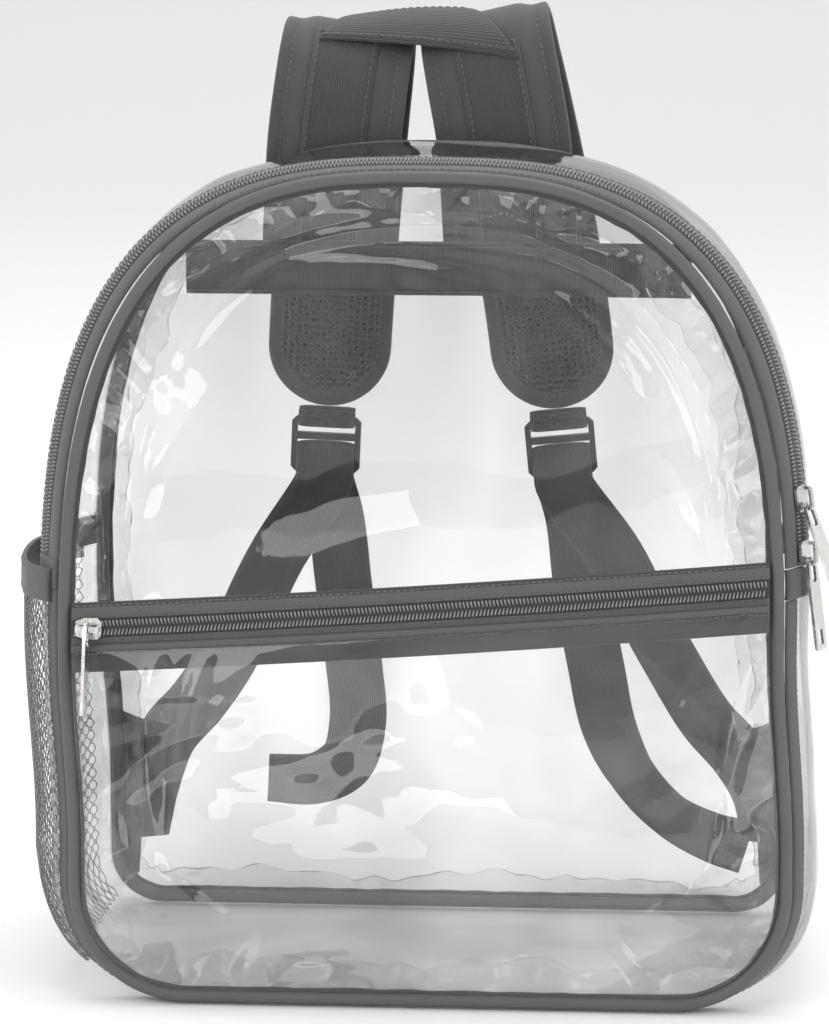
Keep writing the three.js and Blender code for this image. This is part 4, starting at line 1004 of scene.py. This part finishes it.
def pocket_strip(name, low, high, lift_low, lift_high, thickness, columns=13, swell=0.0):
    """A tape that runs across the front along the pocket zip."""
    x = np.linspace(-pocket_reach, pocket_reach, 220)[:, None]
    share = np.linspace(0, 1, columns)[None, :]
    rise = lerp(lift_low, lift_high, share) + swell * np.sin(math.pi * share)
    points = pocket_spot(x, lerp(low, high, share), rise)
    uv = np.stack(np.broadcast_arrays(lerp(low, high, share), x), -1)
    return skin_solid(name, points, soft_edges(columns, thickness), uv)


finish_piece(pocket_strip(
    "pocket_zip_core", -chain_width / 2 - 1.2, chain_width / 2 + 1.2, chain_lift, chain_lift, 1.0,
), core_cloth_painted_shade, ["pocket_zip_chain"])
coil_rows(
    "pocket_zip_coil",
    lambda along, across, lift: pocket_spot(along - pocket_reach, across, chain_lift + lift),
    2 * pocket_reach,
)

# Pocket zip tapes
# Binding folded over the tape above the coil, stitched along its top edge, and a wide facing
# below it whose lower part shows through the clear pocket sheet.
half_chain = chain_width / 2
facing_width = 14.7
sheet_drop = 9.3
upper_low, upper_high = half_chain + seam_gap, half_chain + seam_gap + tape_width
lower_high, lower_low = -half_chain - seam_gap, -half_chain - seam_gap - facing_width
finish_piece(pocket_strip(
    "pocket_binding", upper_low, upper_high, chain_lift, tape_lift, tape_thickness, swell=0.5,
), tape_cloth, ["pocket_zip_tape_upper"])
finish_piece(pocket_strip(
    "pocket_facing", lower_low, lower_high, tape_lift, chain_lift, tape_thickness, 19,
), tape_cloth, ["pocket_zip_tape_lower"])
# The fold above the binding takes the darker flange cloth: painted shade along the fold.
finish_piece(pocket_strip(
    "pocket_fold_above", upper_high - 2.2, upper_high + 0.7, tape_lift + 0.9, tape_lift + 0.1, 1.1, 9, 0.3,
), flange_cloth_painted_shade)
finish_piece(pocket_strip(
    "pocket_fold_below", -sheet_drop - 0.3, -sheet_drop + 2.6, chain_lift + 0.9, chain_lift + 1.0,
    0.9, 9, 0.4,
), tape_cloth)


def pocket_row(above, lift, wobble=0.12):
    x = np.linspace(-pocket_reach + 1, pocket_reach - 1, 240)
    sway_line = wobble * np.sin(x * 0.21) + wobble * 0.6 * np.sin(x * 0.53 + 1)
    path = pocket_spot(x, above + sway_line, lift)
    return path, pocket_spot(x, above + sway_line, lift + 1) - path


sewn("pocket_stitches", [
    pocket_row(upper_high - 0.5, tape_lift + 1.3),
    pocket_row(upper_low + 0.9, chain_lift + tape_thickness / 2 + 0.1),
    pocket_row(lower_high - 0.9, chain_lift + tape_thickness / 2),
    pocket_row(-sheet_drop - 0.6, chain_lift + 1.7, 0.25),
], 2.7, 0.36)

# Front pocket
# A clear sheet over the lower front, sewn into the piping and under the zip's facing, that
# bellies forward with slack folds.
pocket_swell = 12


def pocket_grid():
    """Where the pocket's sheet lies, how far out, and how far each point is from its seams."""
    reach, radius, base = half_width - panel_inset, front_corner - panel_inset, edge_lift + panel_inset
    share = (0.5 - 0.5 * np.cos(np.linspace(0, math.pi, 84)))[:, None]
    rise = share * (pocket_zip_height - sheet_drop - base)
    short = np.maximum(0, radius - rise)
    half = reach - radius + np.sqrt(radius ** 2 - short ** 2)
    x = half * np.sin(np.linspace(-math.pi / 2, math.pi / 2, 150))[None, :]
    z = lerp(base, pocket_zip_z(x) - sheet_drop, share)
    side = np.maximum(0, 1 - np.abs(x / half) ** 5)
    belly = pocket_swell * np.sin(math.pi * share ** 0.9) ** 0.8 * side
    seat = lerp(tape_lift, chain_lift, share) + tape_thickness / 2 + gap
    inset = np.minimum(half - np.abs(x), np.minimum(z - base, pocket_zip_z(x) - sheet_drop - z))
    return x, z, seat + belly + sheet_thickness / 2, inset


pocket_folds = [
    (-110, 118, 82, 44, 3, 1.8),
    (-101, 104, 80, 36, 3.4, -1.6),
    (-92, 124, 74, 26, 2.6, 1.4),
    (-118, 60, 100, 34, 3.4, -1.8),
    (-84, 40, 152, 40, 4, 1.6),
    (-60, 24, 168, 46, 3.2, -1.6),
    (-10, 22, 4, 60, 3, 1.5),
    (50, 30, 12, 52, 3.4, -1.5),
    (92, 44, 34, 36, 3, 1.7),
    (112, 72, 74, 36, 3, -1.7),
    (120, 100, 84, 34, 2.8, 1.7),
    (98, 122, 60, 22, 4, 1.2),
    (-30, 96, 24, 60, 14, -1.5),
    (40, 84, 160, 64, 15, 1.6),
    (0, 60, 6, 84, 12, 1.2),
]
x, z, lift, inset = pocket_grid()
slack = ridges(x, z, pocket_folds) * np.clip(inset / 8, 0, 1)
rng = np.random.default_rng(8)
for octave in range(3):
    spots = rng.uniform((-130, 10), (130, 150), (26, 2))
    for spot_x, spot_z in spots:
        tilt = rng.uniform(0, math.pi)
        slack = slack + 0.5 * ridges(x, z, [(
            spot_x, spot_z, math.degrees(tilt), rng.uniform(10, 26), rng.uniform(2, 5), rng.uniform(-1, 1),
        )]) * np.clip(inset / 8, 0, 1)
points = np.stack(np.broadcast_arrays(x, front_layer_y(x, z, lift + slack), z), -1)
pocket_window = skin_solid("pocket_window", points, film_thickness, points[..., [0, 2]])
finish_piece(pocket_window, clear_film, ["front_pocket_sheet"])

# Zip sliders and pulls
# Nickel plated zinc: the sliders are cast with a raised bridge, the pulls stamped with a long eye
# and a slot. Their edges are worn round.
nickel_colour = (0.74, 0.73, 0.71)
nickel, tree, shader = start_material("nickel", nickel_colour, 0.2)
shader.inputs["Metallic"].default_value = 1
fade = put_effect(tree, blotches, Size_mm=6, Strength=0.12)
tint(tree, shader, nickel_colour, fade.outputs["Shade"])
worn = spread(tree, fade.outputs["Height"], 0.7, 1.3, 0.12, 0.36)
tree.links.new(worn.outputs["Result"], shader.inputs["Roughness"])
emboss(tree, shader, fade.outputs["Height"], 0.06)


def dress(node_name, material, edge):
    """Gives a hard CAD piece its finish and rounds its edges."""
    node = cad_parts[node_name]
    node.data.materials.clear()
    node.data.materials.append(material)
    bevel = node.modifiers.new("edges", "BEVEL")
    bevel.width = edge * 0.001
    bevel.segments = 3
    bevel.limit_method = "ANGLE"
    bevel.angle_limit = math.radians(28)
    bevel.harden_normals = True
    return node


for node_name in ("main_slider_upper", "main_slider_lower", "pocket_slider"):
    dress(node_name, nickel, 0.45)
for node_name in ("main_pull_upper", "main_pull_lower", "pocket_pull"):
    dress(node_name, nickel, 0.3)

# Net pocket
# Knitted polyester net over one side, gathered at the foot and sewn in beside the piping, with a
# folded binding of tape round its open mouth.
net_thickness, net_swell, net_foot = 1, 8, 19
mouth_low, mouth_high, mouth_thickness = 160, 173, 1.8
net_from, net_to = 1 - turn_at(mouth_high), 1 - turn_at(net_foot)


def net_spot(turn, share, lift=0.0, start=tape_start + 1.5):
    """A point of the net, which bellies out between its two sides."""
    fade = np.minimum(1, (1 - (turn - net_from) / (net_to - net_from)) * 4)
    swell = net_swell * fade * np.sin(math.pi * np.clip(share, 0, 1)) ** 0.7
    rise = sheet_thickness / 2 + gap + net_thickness + swell + lift
    return gusset_spot(turn, lerp(start, depth_at(turn) - chain_start, share), rise)


cell_high, cell_deep = 2.7, 2.6
strand = bead([(-0.03, 0.9, 0), (1.03, 0.9, 0)], 4)
net_mouth = 1 - turn_at(mouth_low)
rows = int((net_to - net_mouth) * front_rim["length"] / (cell_high / 2))
columns = int(120 / cell_deep)
row, column = np.meshgrid(np.arange(rows + 1), np.arange(columns + 1), indexing="ij")
zigzag = np.where((row // 2 + column) % 2 == 0, 0.24, -0.24)
net_turn = lerp(net_mouth, net_to, row / rows)
net_share = np.clip((column + zigzag + 0.5) / (columns + 1), 0, 1)
rng = np.random.default_rng(17)
net_turn = net_turn + rng.normal(0, 0.00012, net_turn.shape)
net_share = np.clip(net_share + rng.normal(0, 0.0012, net_share.shape), 0, 1)
spots = net_spot(net_turn, net_share)
outs = unit(net_spot(net_turn, net_share, 1.0) - spots)
even = column[:, :-1] % 2 == 0
bars = (row[:, :-1] % 4 == np.where(even, 1, 3)) | (row[:, :-1] % 4 == np.where(even, 0, 2))
starts = np.concatenate([spots[:-1].reshape(-1, 3), spots[:, :-1][bars]])
ends = np.concatenate([spots[1:].reshape(-1, 3), spots[:, 1:][bars]])
faces_out = np.concatenate([outs[:-1].reshape(-1, 3), outs[:, :-1][bars]])
reach = ends - starts
aside = unit(np.cross(faces_out, reach))
points, faces = copies(strand, starts, reach, aside * 0.36, faces_out * 0.26)
net_colour = (0.13, 0.13, 0.132)
net_yarn, tree, shader = start_material("net_yarn", net_colour, 0.38)
shader.inputs["Sheen Weight"].default_value = 0.4
fade = put_effect(tree, blotches, Size_mm=5, Strength=0.5)
tint(tree, shader, net_colour, fade.outputs["Shade"])
emboss(tree, shader, fade.outputs["Height"], 0.1)
finish_piece(make_piece("side_net", points, faces), net_yarn, ["mesh_pocket"])

turn = np.linspace(net_from, net_mouth, 13)[:, None]
share = np.linspace(0, 1, 90)[None, :]
roll_over = 0.5 * np.cos(np.linspace(-1, 1, 13) * math.pi / 2)[:, None]
uv = np.stack(np.broadcast_arrays(turn * front_rim["length"], share * 120), -1)
mouth = skin_solid("net_binding", net_spot(turn, share, roll_over), mouth_thickness, uv)
finish_piece(mouth, tape_cloth, ["mesh_pocket_binding"])
mouth_rows = []
for spot in (0.12, 0.84):
    row_turn = np.full(90, lerp(net_from, net_mouth, spot))
    path = net_spot(row_turn, share[0], mouth_thickness / 2 + 0.3)
    mouth_rows.append((path, net_spot(row_turn, share[0], mouth_thickness / 2 + 1.3) - path))
sewn("net_binding_stitches", mouth_rows)

# Back band
# Wide ribbed webbing of woven polyester, sewn flat across the upper back panel with a row of
# stitches along both edges. The pads are sewn to it.
webbing_colour = (0.05, 0.05, 0.051)
webbing = cloth_material("webbing", webbing_colour, 0.7, 1.05, 0.8, 0.75, 0.3)
webbing_thickness = 1.6
back_band_height, back_band_width = 279, 23


def half_width_at(z):
    up = np.clip((z - edge_lift - spring_height) / (bag_height - spring_height), 0, 1)
    return half_width * (1 - up ** dome_power) ** (1 / dome_power)


band_low_z, band_high_z = back_band_height - back_band_width / 2, back_band_height + back_band_width / 2
band_reach = half_width_at(band_high_z) - panel_inset
x = np.linspace(-band_reach, band_reach, 240)[:, None]
z = np.linspace(band_low_z, band_high_z, 15)[None, :]
lift = gap + webbing_thickness / 2 + 0.15 * np.sin(x * 0.09) + 0.1 * np.sin(x * 0.31 + z * 0.2)
points = np.stack(np.broadcast_arrays(x, back_face_y(x, z) + lift, z), -1)
uv = np.stack(np.broadcast_arrays(x, z), -1)
band = skin_solid("back_band", points, soft_edges(15, webbing_thickness), uv)
finish_piece(band, webbing, ["back_webbing_band"])
band_rows = []
for height in (band_low_z + 2, band_high_z - 2):
    for face in (gap + webbing_thickness + 0.1, gap - 1.2):
        path = np.stack([x[:, 0], back_face_y(x[:, 0], height) + face, np.full(len(x), height)], -1)
        band_rows.append((path, np.tile((0, 1.0 if face > 0 else -1.0, 0), (len(x), 1))))
sewn("back_band_stitches", band_rows)

# Strap pads
# Foam between a plain woven cover and an air mesh lining, bound and stitched all round. Each runs
# up from the band, over in a loop, and hangs down behind with its lining towards the bag.
pad_thickness, pad_edge = 6, 3
pad_width, pad_end_width, pad_end_height = 57, 53, 211
strap_reach = 44
pads = {
    "left": {"side": -1, "root": -47, "top": -38.7, "end": -51, "height": 376, "roll": 9},
    "right": {"side": 1, "root": 31, "top": 17.5, "end": 49, "height": 381, "roll": 13},
}
pad_run = np.array([  # back, up, lean, roll
    (0, 0.36, 0, 0), (0, 0.54, 0.12, 0.1), (0.01, 0.72, 0.3, 0.3), (0.05, 0.86, 0.62, 0.7),
    (0.18, 0.95, 0.85, 0.9), (0.38, 0.993, 0.96, 1), (0.6, 1, 1, 1), (0.82, 0.97, 1.05, 1),
    (0.95, 0.89, 1.15, 0.8), (1, 0.76, 1.32, 0.5), (1, 0.54, 1.58, 0.2), (0.98, 0.31, 1.8, 0),
    (0.95, 0.15, 1.92, 0), (0.92, 0, 2, 0),
])
pad_rows = len(pad_run) - 1
band_face = back_face_y(0.0, band_low_z) + gap + webbing_thickness
pad_root_y = band_face + gap + webbing_thickness + gap + pad_thickness / 2


def along_route(knots, share):
    """Points at shares of a smooth line through knots."""
    knots = np.asarray(knots, float)
    padded = np.vstack([2 * knots[0] - knots[1], knots, 2 * knots[-1] - knots[-2]])
    at = np.clip(share, 0, 1) * (len(knots) - 1)
    first = np.minimum(at.astype(int), len(knots) - 2)
    w = (at - first)[:, None]
    a, b, c, d = (padded[first + k] for k in range(4))
    before, here, after = (
        np.sqrt(np.linalg.norm(far - near, axis=1, keepdims=True)) for near, far in ((a, b), (b, c), (c, d))
    )
    leave = ((b - a) / before - (c - a) / (before + here) + (c - b) / here) * here
    reach_next = ((c - b) / here - (d - b) / (here + after) + (d - c) / after) * here
    bend = 3 * (c - b) - 2 * leave - reach_next
    return b + leave * w + bend * w ** 2 + (2 * (b - c) + leave + reach_next) * w ** 3


def way_along(knots, share):
    return unit(along_route(knots, share + 1e-4) - along_route(knots, share - 1e-4))


def pad_knots(pad):
    """The route of a pad's middle."""
    back, up, lean, _ = pad_run.T
    x = np.where(lean < 1, lerp(pad["root"], pad["top"], lean), lerp(pad["top"], pad["end"], lean - 1))
    return np.stack([x, pad_root_y + strap_reach * back, lerp(pad_end_height, pad["height"], up)], -1)


def pad_frame(pad, share):
    """The middle of a pad at shares of its length, with its three directions."""
    knots = pad_knots(pad)
    angle = np.radians(pad["roll"] * np.interp(share * pad_rows, np.arange(pad_rows + 1), pad_run[:, 3]))
    along = way_along(knots, share)
    across = np.stack([np.cos(angle), 0 * angle, pad["side"] * np.sin(angle)], -1)
    across = unit(across - along * (across * along).sum(-1, keepdims=True))
    return along_route(knots, share), across, along, np.cross(across, along)


def pad_spot(pad, share, aside, lift):
    spot, across, _, out = pad_frame(pad, np.atleast_1d(share))
    return spot + across * np.asarray(aside).reshape(-1, 1) + out * np.asarray(lift).reshape(-1, 1)


def pad_lengths(pad):
    share = np.linspace(0, 1, 1201)
    line = along_route(pad_knots(pad), share)
    far = np.concatenate([[0], np.cumsum(np.linalg.norm(np.diff(line, axis=0), axis=1))])
    return share, far


def pad_relief(edge_distance, place):
    """Thickness of a pad by the distance from its outline."""
    rounding = np.sqrt(np.clip(1 - (1 - np.clip(edge_distance / 1.3, 0, 1)) ** 2, 0, 1))
    puff = np.clip((edge_distance - 6.2) / 7, 0, 1)
    puff = puff * puff * (3 - 2 * puff)
    groove = np.exp(-((edge_distance - 5.6) / 0.9) ** 2)
    quilt = 1 + 0.06 * np.sin(place * 0.42) * np.sin(place * 0.13 + 1)
    return rounding * (pad_edge - 0.9 * groove) + (pad_thickness - pad_edge + 0.9) * puff * quilt


cover_colour = (0.066, 0.066, 0.067)
pad_cover = cloth_material("pad_cover", cover_colour, 0.75, 0.55, 0.55, 0.5, 0.15, 0.22)
lining_colour = (0.03, 0.03, 0.031)
pad_lining, tree, shader = start_material("pad_lining", lining_colour, 0.85)
shader.inputs["Sheen Weight"].default_value = 0.3
lining_map = tree.nodes.new("ShaderNodeUVMap")
lining_map.uv_map = "cloth"
holes = tree.nodes.new("ShaderNodeTexVoronoi")
holes.inputs["Scale"].default_value = 0.36
holes.inputs["Randomness"].default_value = 0.35
tree.links.new(lining_map.outputs["UV"], holes.inputs["Vector"])
# Painted shade: the lining's colour drops to a quarter in the mesh holes and is lighter on the strands, and
# the same values drive the bump.
hole_relief_and_shade = spread(tree, holes.outputs["Distance"], 0.24, 0.5, 0.25, 2.1)
hole_relief_and_shade.interpolation_type = "SMOOTHSTEP"
tint(tree, shader, lining_colour, hole_relief_and_shade.outputs["Result"])
emboss(tree, shader, hole_relief_and_shade.outputs["Result"], 0.7)

for side, pad in pads.items():
    shares, far = pad_lengths(pad)
    total, round_end = far[-1], pad_end_width / 2
    tip = round_end * (1 - np.cos(np.radians(np.linspace(88, 3, 16))))
    place = np.concatenate([np.linspace(0, total - round_end, 150), total - tip[1:]])
    share = np.interp(place, far, shares)
    left = total - place
    chord = np.sqrt(np.maximum(round_end ** 2 - (round_end - left) ** 2, 0))
    narrow = np.where(left < round_end, round_end - chord, 0)
    half = lerp(pad_width, pad_end_width, share) / 2 - narrow
    across_share = np.sin(np.linspace(-math.pi / 2, math.pi / 2, 41))
    aside = half[:, None] * across_share[None, :]
    edge_distance = half[:, None] - np.abs(aside)
    round_distance = round_end - np.hypot(aside, round_end - left[:, None])
    edge_distance = np.where(left[:, None] < round_end, np.maximum(round_distance, 0), edge_distance)
    thickness = np.maximum(pad_relief(edge_distance, place[:, None]), 0.35)
    spot, across, along, out = pad_frame(pad, share)
    middle = spot[:, None] + across[:, None] * aside[..., None]
    outer = middle + out[:, None] * thickness[..., None] / 2
    inner = middle - out[:, None] * thickness[..., None] / 2
    uv = np.stack(np.broadcast_arrays(aside, place[:, None]), -1)
    piece = between_faces(f"pad_{side}", outer, inner, uv)
    finish_piece(piece, pad_cover, [f"strap_pad_{side}"])
    piece.data.materials.append(pad_lining)
    lining = np.zeros(len(piece.data.polygons), np.int32)
    quads = (len(place) - 1) * 40
    inside = (edge_distance[:-1, :-1] + edge_distance[1:, 1:]).ravel() / 2 > 6.6
    lining[quads:2 * quads] = inside
    piece.data.polygons.foreach_set("material_index", lining)
    seam_rows = []
    turn = np.linspace(-math.pi / 2, math.pi / 2, 30)
    arc = round_end - 5.6
    way = np.concatenate([
        np.linspace(2, total - round_end, 90),
        total - round_end + arc * np.cos(turn),
        np.linspace(total - round_end, 2, 90),
    ])
    at = np.interp(way, far, shares)
    side_line = lerp(pad_width, pad_end_width, at) / 2 - 5.6
    edge_line = np.concatenate([-side_line[:90], arc * np.sin(turn), side_line[-90:]])
    spot, across, along, out = pad_frame(pad, at)
    for face in (-1, 1):
        path = spot + across * edge_line[:, None] + out * face * (pad_edge / 2 - 0.35)
        seam_rows.append((path, out * face))
    box_half, box_low, box_high = 11.5, total - 13, total - 34
    corners = [(-box_half, box_low), (box_half, box_low), (box_half, box_high), (-box_half, box_high),
               (-box_half, box_low), (box_half, box_high), (-box_half, box_high), (box_half, box_low)]
    for (aside_a, place_a), (aside_b, place_b) in zip(corners, corners[1:]):
        steps = np.linspace(0.03, 0.97, 12)
        at = np.interp(lerp(place_a, place_b, steps), far, shares)
        spot, across, along, out = pad_frame(pad, at)
        path = spot + across * lerp(aside_a, aside_b, steps)[:, None] - out * (pad_thickness / 2 - 0.1)
        seam_rows.append((path, -out))
    sewn(f"pad_{side}_stitches", seam_rows, 3.1, 0.4)

# Grab handle
# One length of ribbed webbing: it runs up the outer face of both pads and crosses between them
# as the handle.
handle_width = 27
run_lift = pad_thickness / 2 + gap + webbing_thickness / 2
cross_lift = run_lift + webbing_thickness * 0.8
handle_ends = {
    "left": {"root": 0.01, "front": 4.15, "back": 6.1, "front_aside": -0.21, "back_aside": 0.035},
    "right": {"root": 0.01, "front": 3.35, "back": 5.9, "front_aside": 0.228, "back_aside": -0.14},
}
handle_parts, handle_rows = [], []
for side, pad in pads.items():
    ends = handle_ends[side]
    share = np.linspace(ends["root"], ends["front"] + 0.5, 90) / pad_rows
    spot, across, along, out = pad_frame(pad, share)
    aside = np.linspace(-1, 1, 13) * handle_width / 2
    middle = spot[:, None] + across[:, None] * aside[None, :, None] + out[:, None] * run_lift
    place = np.interp(share, *pad_lengths(pad))
    uv = np.stack(np.broadcast_arrays(aside[None, :], place[:, None]), -1)
    handle_parts.append(skin_solid(f"handle_run_{side}", middle, soft_edges(13, webbing_thickness), uv))
    for edge in (-1, 1):
        path = spot + across * edge * (handle_width / 2 - 1.8) + out * (run_lift + webbing_thickness / 2)
        handle_rows.append((path, out))


def cross_corner(side, share):
    pad, ends = pads[side], handle_ends[side]
    at = lerp(ends["front"], ends["back"], share) / pad_rows
    aside = pad_width * lerp(ends["front_aside"], ends["back_aside"], share)
    return pad_spot(pad, at, aside, cross_lift)


share = np.linspace(0, 1, 15)
from_left, from_right = cross_corner("left", share), cross_corner("right", share)
step = np.linspace(0, 1, 60)[:, None, None]
middle = lerp(from_left[None], from_right[None], step)
middle = middle + np.array([0, 0, 1.6]) * np.sin(step * math.pi) ** 0.8
uv = np.stack(np.broadcast_arrays((share * handle_width)[None, :], step[..., 0] * 75), -1)
handle_parts.append(skin_solid("handle_cross", middle, soft_edges(15, webbing_thickness), uv))
for column in (1, 13):
    path = middle[:, column]
    out = unit(np.cross(np.gradient(path, axis=0), middle[:, 8] - path))
    out = out * np.sign(out[:, 2:])
    handle_rows.append((path + out * webbing_thickness / 2, out))
for part in handle_parts:
    finish_piece(part, webbing, ["handle_webbing"])
sewn("handle_stitches", handle_rows, 3.0, 0.34)

# Locks and end loops
# Ladder locks moulded in acetal, each held at the end of its pad by a short loop of webbing that
# goes round its top bar.
lock_colour = (0.03, 0.03, 0.031)
lock_plastic, tree, shader = start_material("lock_plastic", lock_colour, 0.38)
fade = put_effect(tree, blotches, Size_mm=7, Strength=0.15)
tint(tree, shader, lock_colour, fade.outputs["Shade"])
emboss(tree, shader, fade.outputs["Height"], 0.05)
lock_height, lock_thickness, lock_bar, lock_drop = 24, 4, 3, 17
loop_width, loop_thickness = 24.4, 1.4
lock_step = (lock_height - lock_bar) / 3


def lock_frame(pad):
    spot, across, along, out = (part[0] for part in pad_frame(pad, np.array([1.0])))
    return spot + along * lock_drop, -across, -along, out


for side, pad in pads.items():
    dress(f"ladder_lock_{side}", lock_plastic, 0.5)
    origin, x_axis, y_axis, z_axis = lock_frame(pad)
    low = lock_height / 2 - lock_bar - gap - loop_thickness / 2
    high = lock_drop - gap - loop_thickness / 2
    out = lock_thickness / 2 + gap + loop_thickness / 2
    corner = 1.6
    outline = []
    for centre_y, centre_z, start in (
        (high - corner, out - corner, 0), (high - corner, corner - out, 90),
        (low + corner, corner - out, 180), (low + corner, out - corner, 270),
    ):
        for turn in np.radians(start + np.linspace(0, 90, 8)):
            outline.append((centre_y + corner * math.cos(turn), centre_z - corner * math.sin(turn)))
    outline = np.array(outline + outline[:1])
    aside = np.linspace(-1, 1, 11)[None, :] * loop_width / 2
    points = origin + x_axis * aside[..., None]
    points = points + y_axis * outline[:, None, :1] + z_axis * outline[:, None, 1:]
    far = np.concatenate([[0], np.cumsum(np.linalg.norm(np.diff(outline, axis=0), axis=1))])
    uv = np.stack(np.broadcast_arrays(aside, far[:, None]), -1)
    loop = skin_solid(f"end_loop_{side}", points, soft_edges(11, loop_thickness), uv, soft=False)
    finish_piece(loop, webbing, [f"pad_end_loop_{side}"])

# Adjuster webbing
# One strap each side: from the tab at the lower corner up to the lock, over its bar, and down
# again as a free tail.
adjuster_width = 25
turn_length, turn_rise, turn_spread = 12, 3.9, 1.2
load_runs = {  # out, back, up, turn, roll
    "left": [
        (-0.93, 0.12, 0.12, 0, 40), (-0.905, 0.1, 0.23, 0, 25), (-0.855, 0.12, 0.335, 0, 5),
        (-0.76, 0.24, 0.405, 0, 0), (-0.655, 0.4, 0.5, 0, 0), (-0.5, 0.62, 0.7, 0, 0),
    ],
    "right": [
        (0.95, 0.12, 0.13, 0, -40), (0.93, 0.1, 0.23, 0, -25), (0.875, 0.12, 0.31, 0, -5),
        (0.775, 0.24, 0.385, 0, 0), (0.665, 0.42, 0.515, 0, 0), (0.525, 0.64, 0.7, 0, 0),
    ],
}
tail_runs = {
    "left": [
        (-0.335, 1.02, 0.76, 0, 0), (-0.31, 0.98, 0.6, 0, 0), (-0.297, 0.9, 0.45, 0, 0),
        (-0.295, 0.84, 0.335, 5, 0), (-0.33, 0.8, 0.25, 35, 15), (-0.42, 0.76, 0.215, 75, 40),
        (-0.57, 0.74, 0.215, 90, 50),
    ],
    "right": [
        (0.395, 1.02, 0.76, 0, 0), (0.42, 0.98, 0.6, 0, 0), (0.445, 0.9, 0.46, 0, 0),
        (0.475, 0.82, 0.335, -10, -20), (0.545, 0.72, 0.24, -35, -45), (0.66, 0.6, 0.16, -50, -52),
        (0.79, 0.5, 0.118, -65, -45), (0.9, 0.44, 0.1, -75, -35),
    ],
}


def run_spots(rows):
    """Places of the webbing with its direction across and its roll."""
    out, back, up, turn, roll = np.array(rows, float).T
    spots = np.stack([out * half_width, pad_root_y + strap_reach * back, up * pad_end_height], -1)
    across = np.stack([np.cos(np.radians(turn)), 0 * turn, -np.sin(np.radians(turn))], -1)
    return spots, across, np.radians(roll)


def lock_turn(pad):
    """The webbing's way over the lock's lower middle bar."""
    origin, x_axis, y_axis, z_axis = lock_frame(pad)
    off = lock_thickness / 2 + gap + webbing_thickness / 2
    half = [
        (off + turn_spread, -turn_length), (off + turn_spread / 6, -turn_length / 2), (off, 0),
        (off * math.cos(math.radians(30)), turn_rise * 0.72),
    ]
    path = np.array([(-z, y) for z, y in half] + [(0, turn_rise)] + half[::-1])
    spots = origin + z_axis * path[:, :1] + y_axis * (path[:, 1:] - lock_step / 2)
    return spots, np.tile(-x_axis, (len(path), 1)), np.zeros(len(path))


for side, pad in pads.items():
    pieces = [run_spots(load_runs[side]), lock_turn(pad), run_spots(tail_runs[side])]
    spots, across, roll = (np.concatenate(column) for column in zip(*pieces))
    last = len(spots) - 1
    share = np.linspace(0, 1, last * 10 + 1)
    along = way_along(spots, share)
    at = np.arange(last + 1)
    aside = np.stack([np.interp(share * last, at, across[:, k]) for k in range(3)], -1)
    aside = unit(aside - along * (aside * along).sum(-1, keepdims=True))
    angle = np.interp(share * last, at, roll)[:, None]
    aside = aside * np.cos(angle) + np.cross(along, aside) * np.sin(angle)
    out = np.cross(aside, along)
    line = along_route(spots, share)
    far = np.concatenate([[0], np.cumsum(np.linalg.norm(np.diff(line, axis=0), axis=1))])
    columns = np.linspace(-1, 1, 11)
    cup = 0.5 * (1 - columns ** 2) * np.clip(np.minimum(far, far[-1] - far) / 30, 0, 1)[:, None]
    middle = line[:, None] + aside[:, None] * (columns * adjuster_width / 2)[None, :, None]
    middle = middle + out[:, None] * cup[..., None]
    uv = np.stack(np.broadcast_arrays(columns[None, :] * adjuster_width / 2, far[:, None]), -1)
    strap = skin_solid(f"adjuster_{side}", middle, soft_edges(11, webbing_thickness), uv)
    finish_piece(strap, webbing, [f"adjuster_webbing_{side}"])
    hem_rows = []
    for face in (-1, 1):
        path = line[-10:-3, None] + aside[-10:-3, None] * np.linspace(-10.5, 10.5, 8)[None, :, None]
        spot = path[-1] + out[-4] * (cup[-4, 5] + face * webbing_thickness / 2)
        hem_rows.append((spot, np.tile(out[-4] * face, (8, 1))))
    sewn(f"adjuster_{side}_hem", hem_rows, 2.6, 0.34)

# Corner tabs
# Folded webbing sewn over the lower back corners with two rows of stitches. The adjusters start
# here.
tab_top, tab_width, tab_bottom, tab_slant = 85, 17, 9, 6
for side, sign in (("left", -1), ("right", 1)):
    outer = half_width - gap
    low = edge_lift + tab_bottom
    heights = np.linspace(low, tab_top, 40)[:, None]
    widths = tab_width * np.array((0.5, 0.62, 1, 0.05))
    inner_edge = np.interp(heights, (low, tab_top / 2, tab_top - tab_slant, tab_top), widths)
    outer_edge = np.interp(heights, (low, low + 3, edge_lift + back_corner, tab_top), (6, 3, 0, 0))
    share = np.linspace(0, 1, 13)[None, :]
    x = sign * (outer - lerp(outer_edge, np.maximum(inner_edge, outer_edge + 0.5), share))
    puff = 0.35 * np.sin(math.pi * share) + 0.2 * np.sin(heights * 0.35)
    y = back_y + piping_radius + gap + webbing_thickness / 2 + puff
    points = np.stack(np.broadcast_arrays(x, y, heights), -1)
    uv = np.stack(np.broadcast_arrays(share * tab_width, heights), -1)
    tab = skin_solid(f"tab_{side}", points, soft_edges(13, webbing_thickness), uv)
    finish_piece(tab, webbing, [f"corner_tab_{side}"])
    rows = []
    for column in (2, 10):
        path = points[3:-4, column] + np.array([0, webbing_thickness / 2, 0])
        rows.append((path, np.tile((0.0, 1.0, 0.0), (len(path), 1))))
    sewn(f"tab_{side}_stitches", rows)
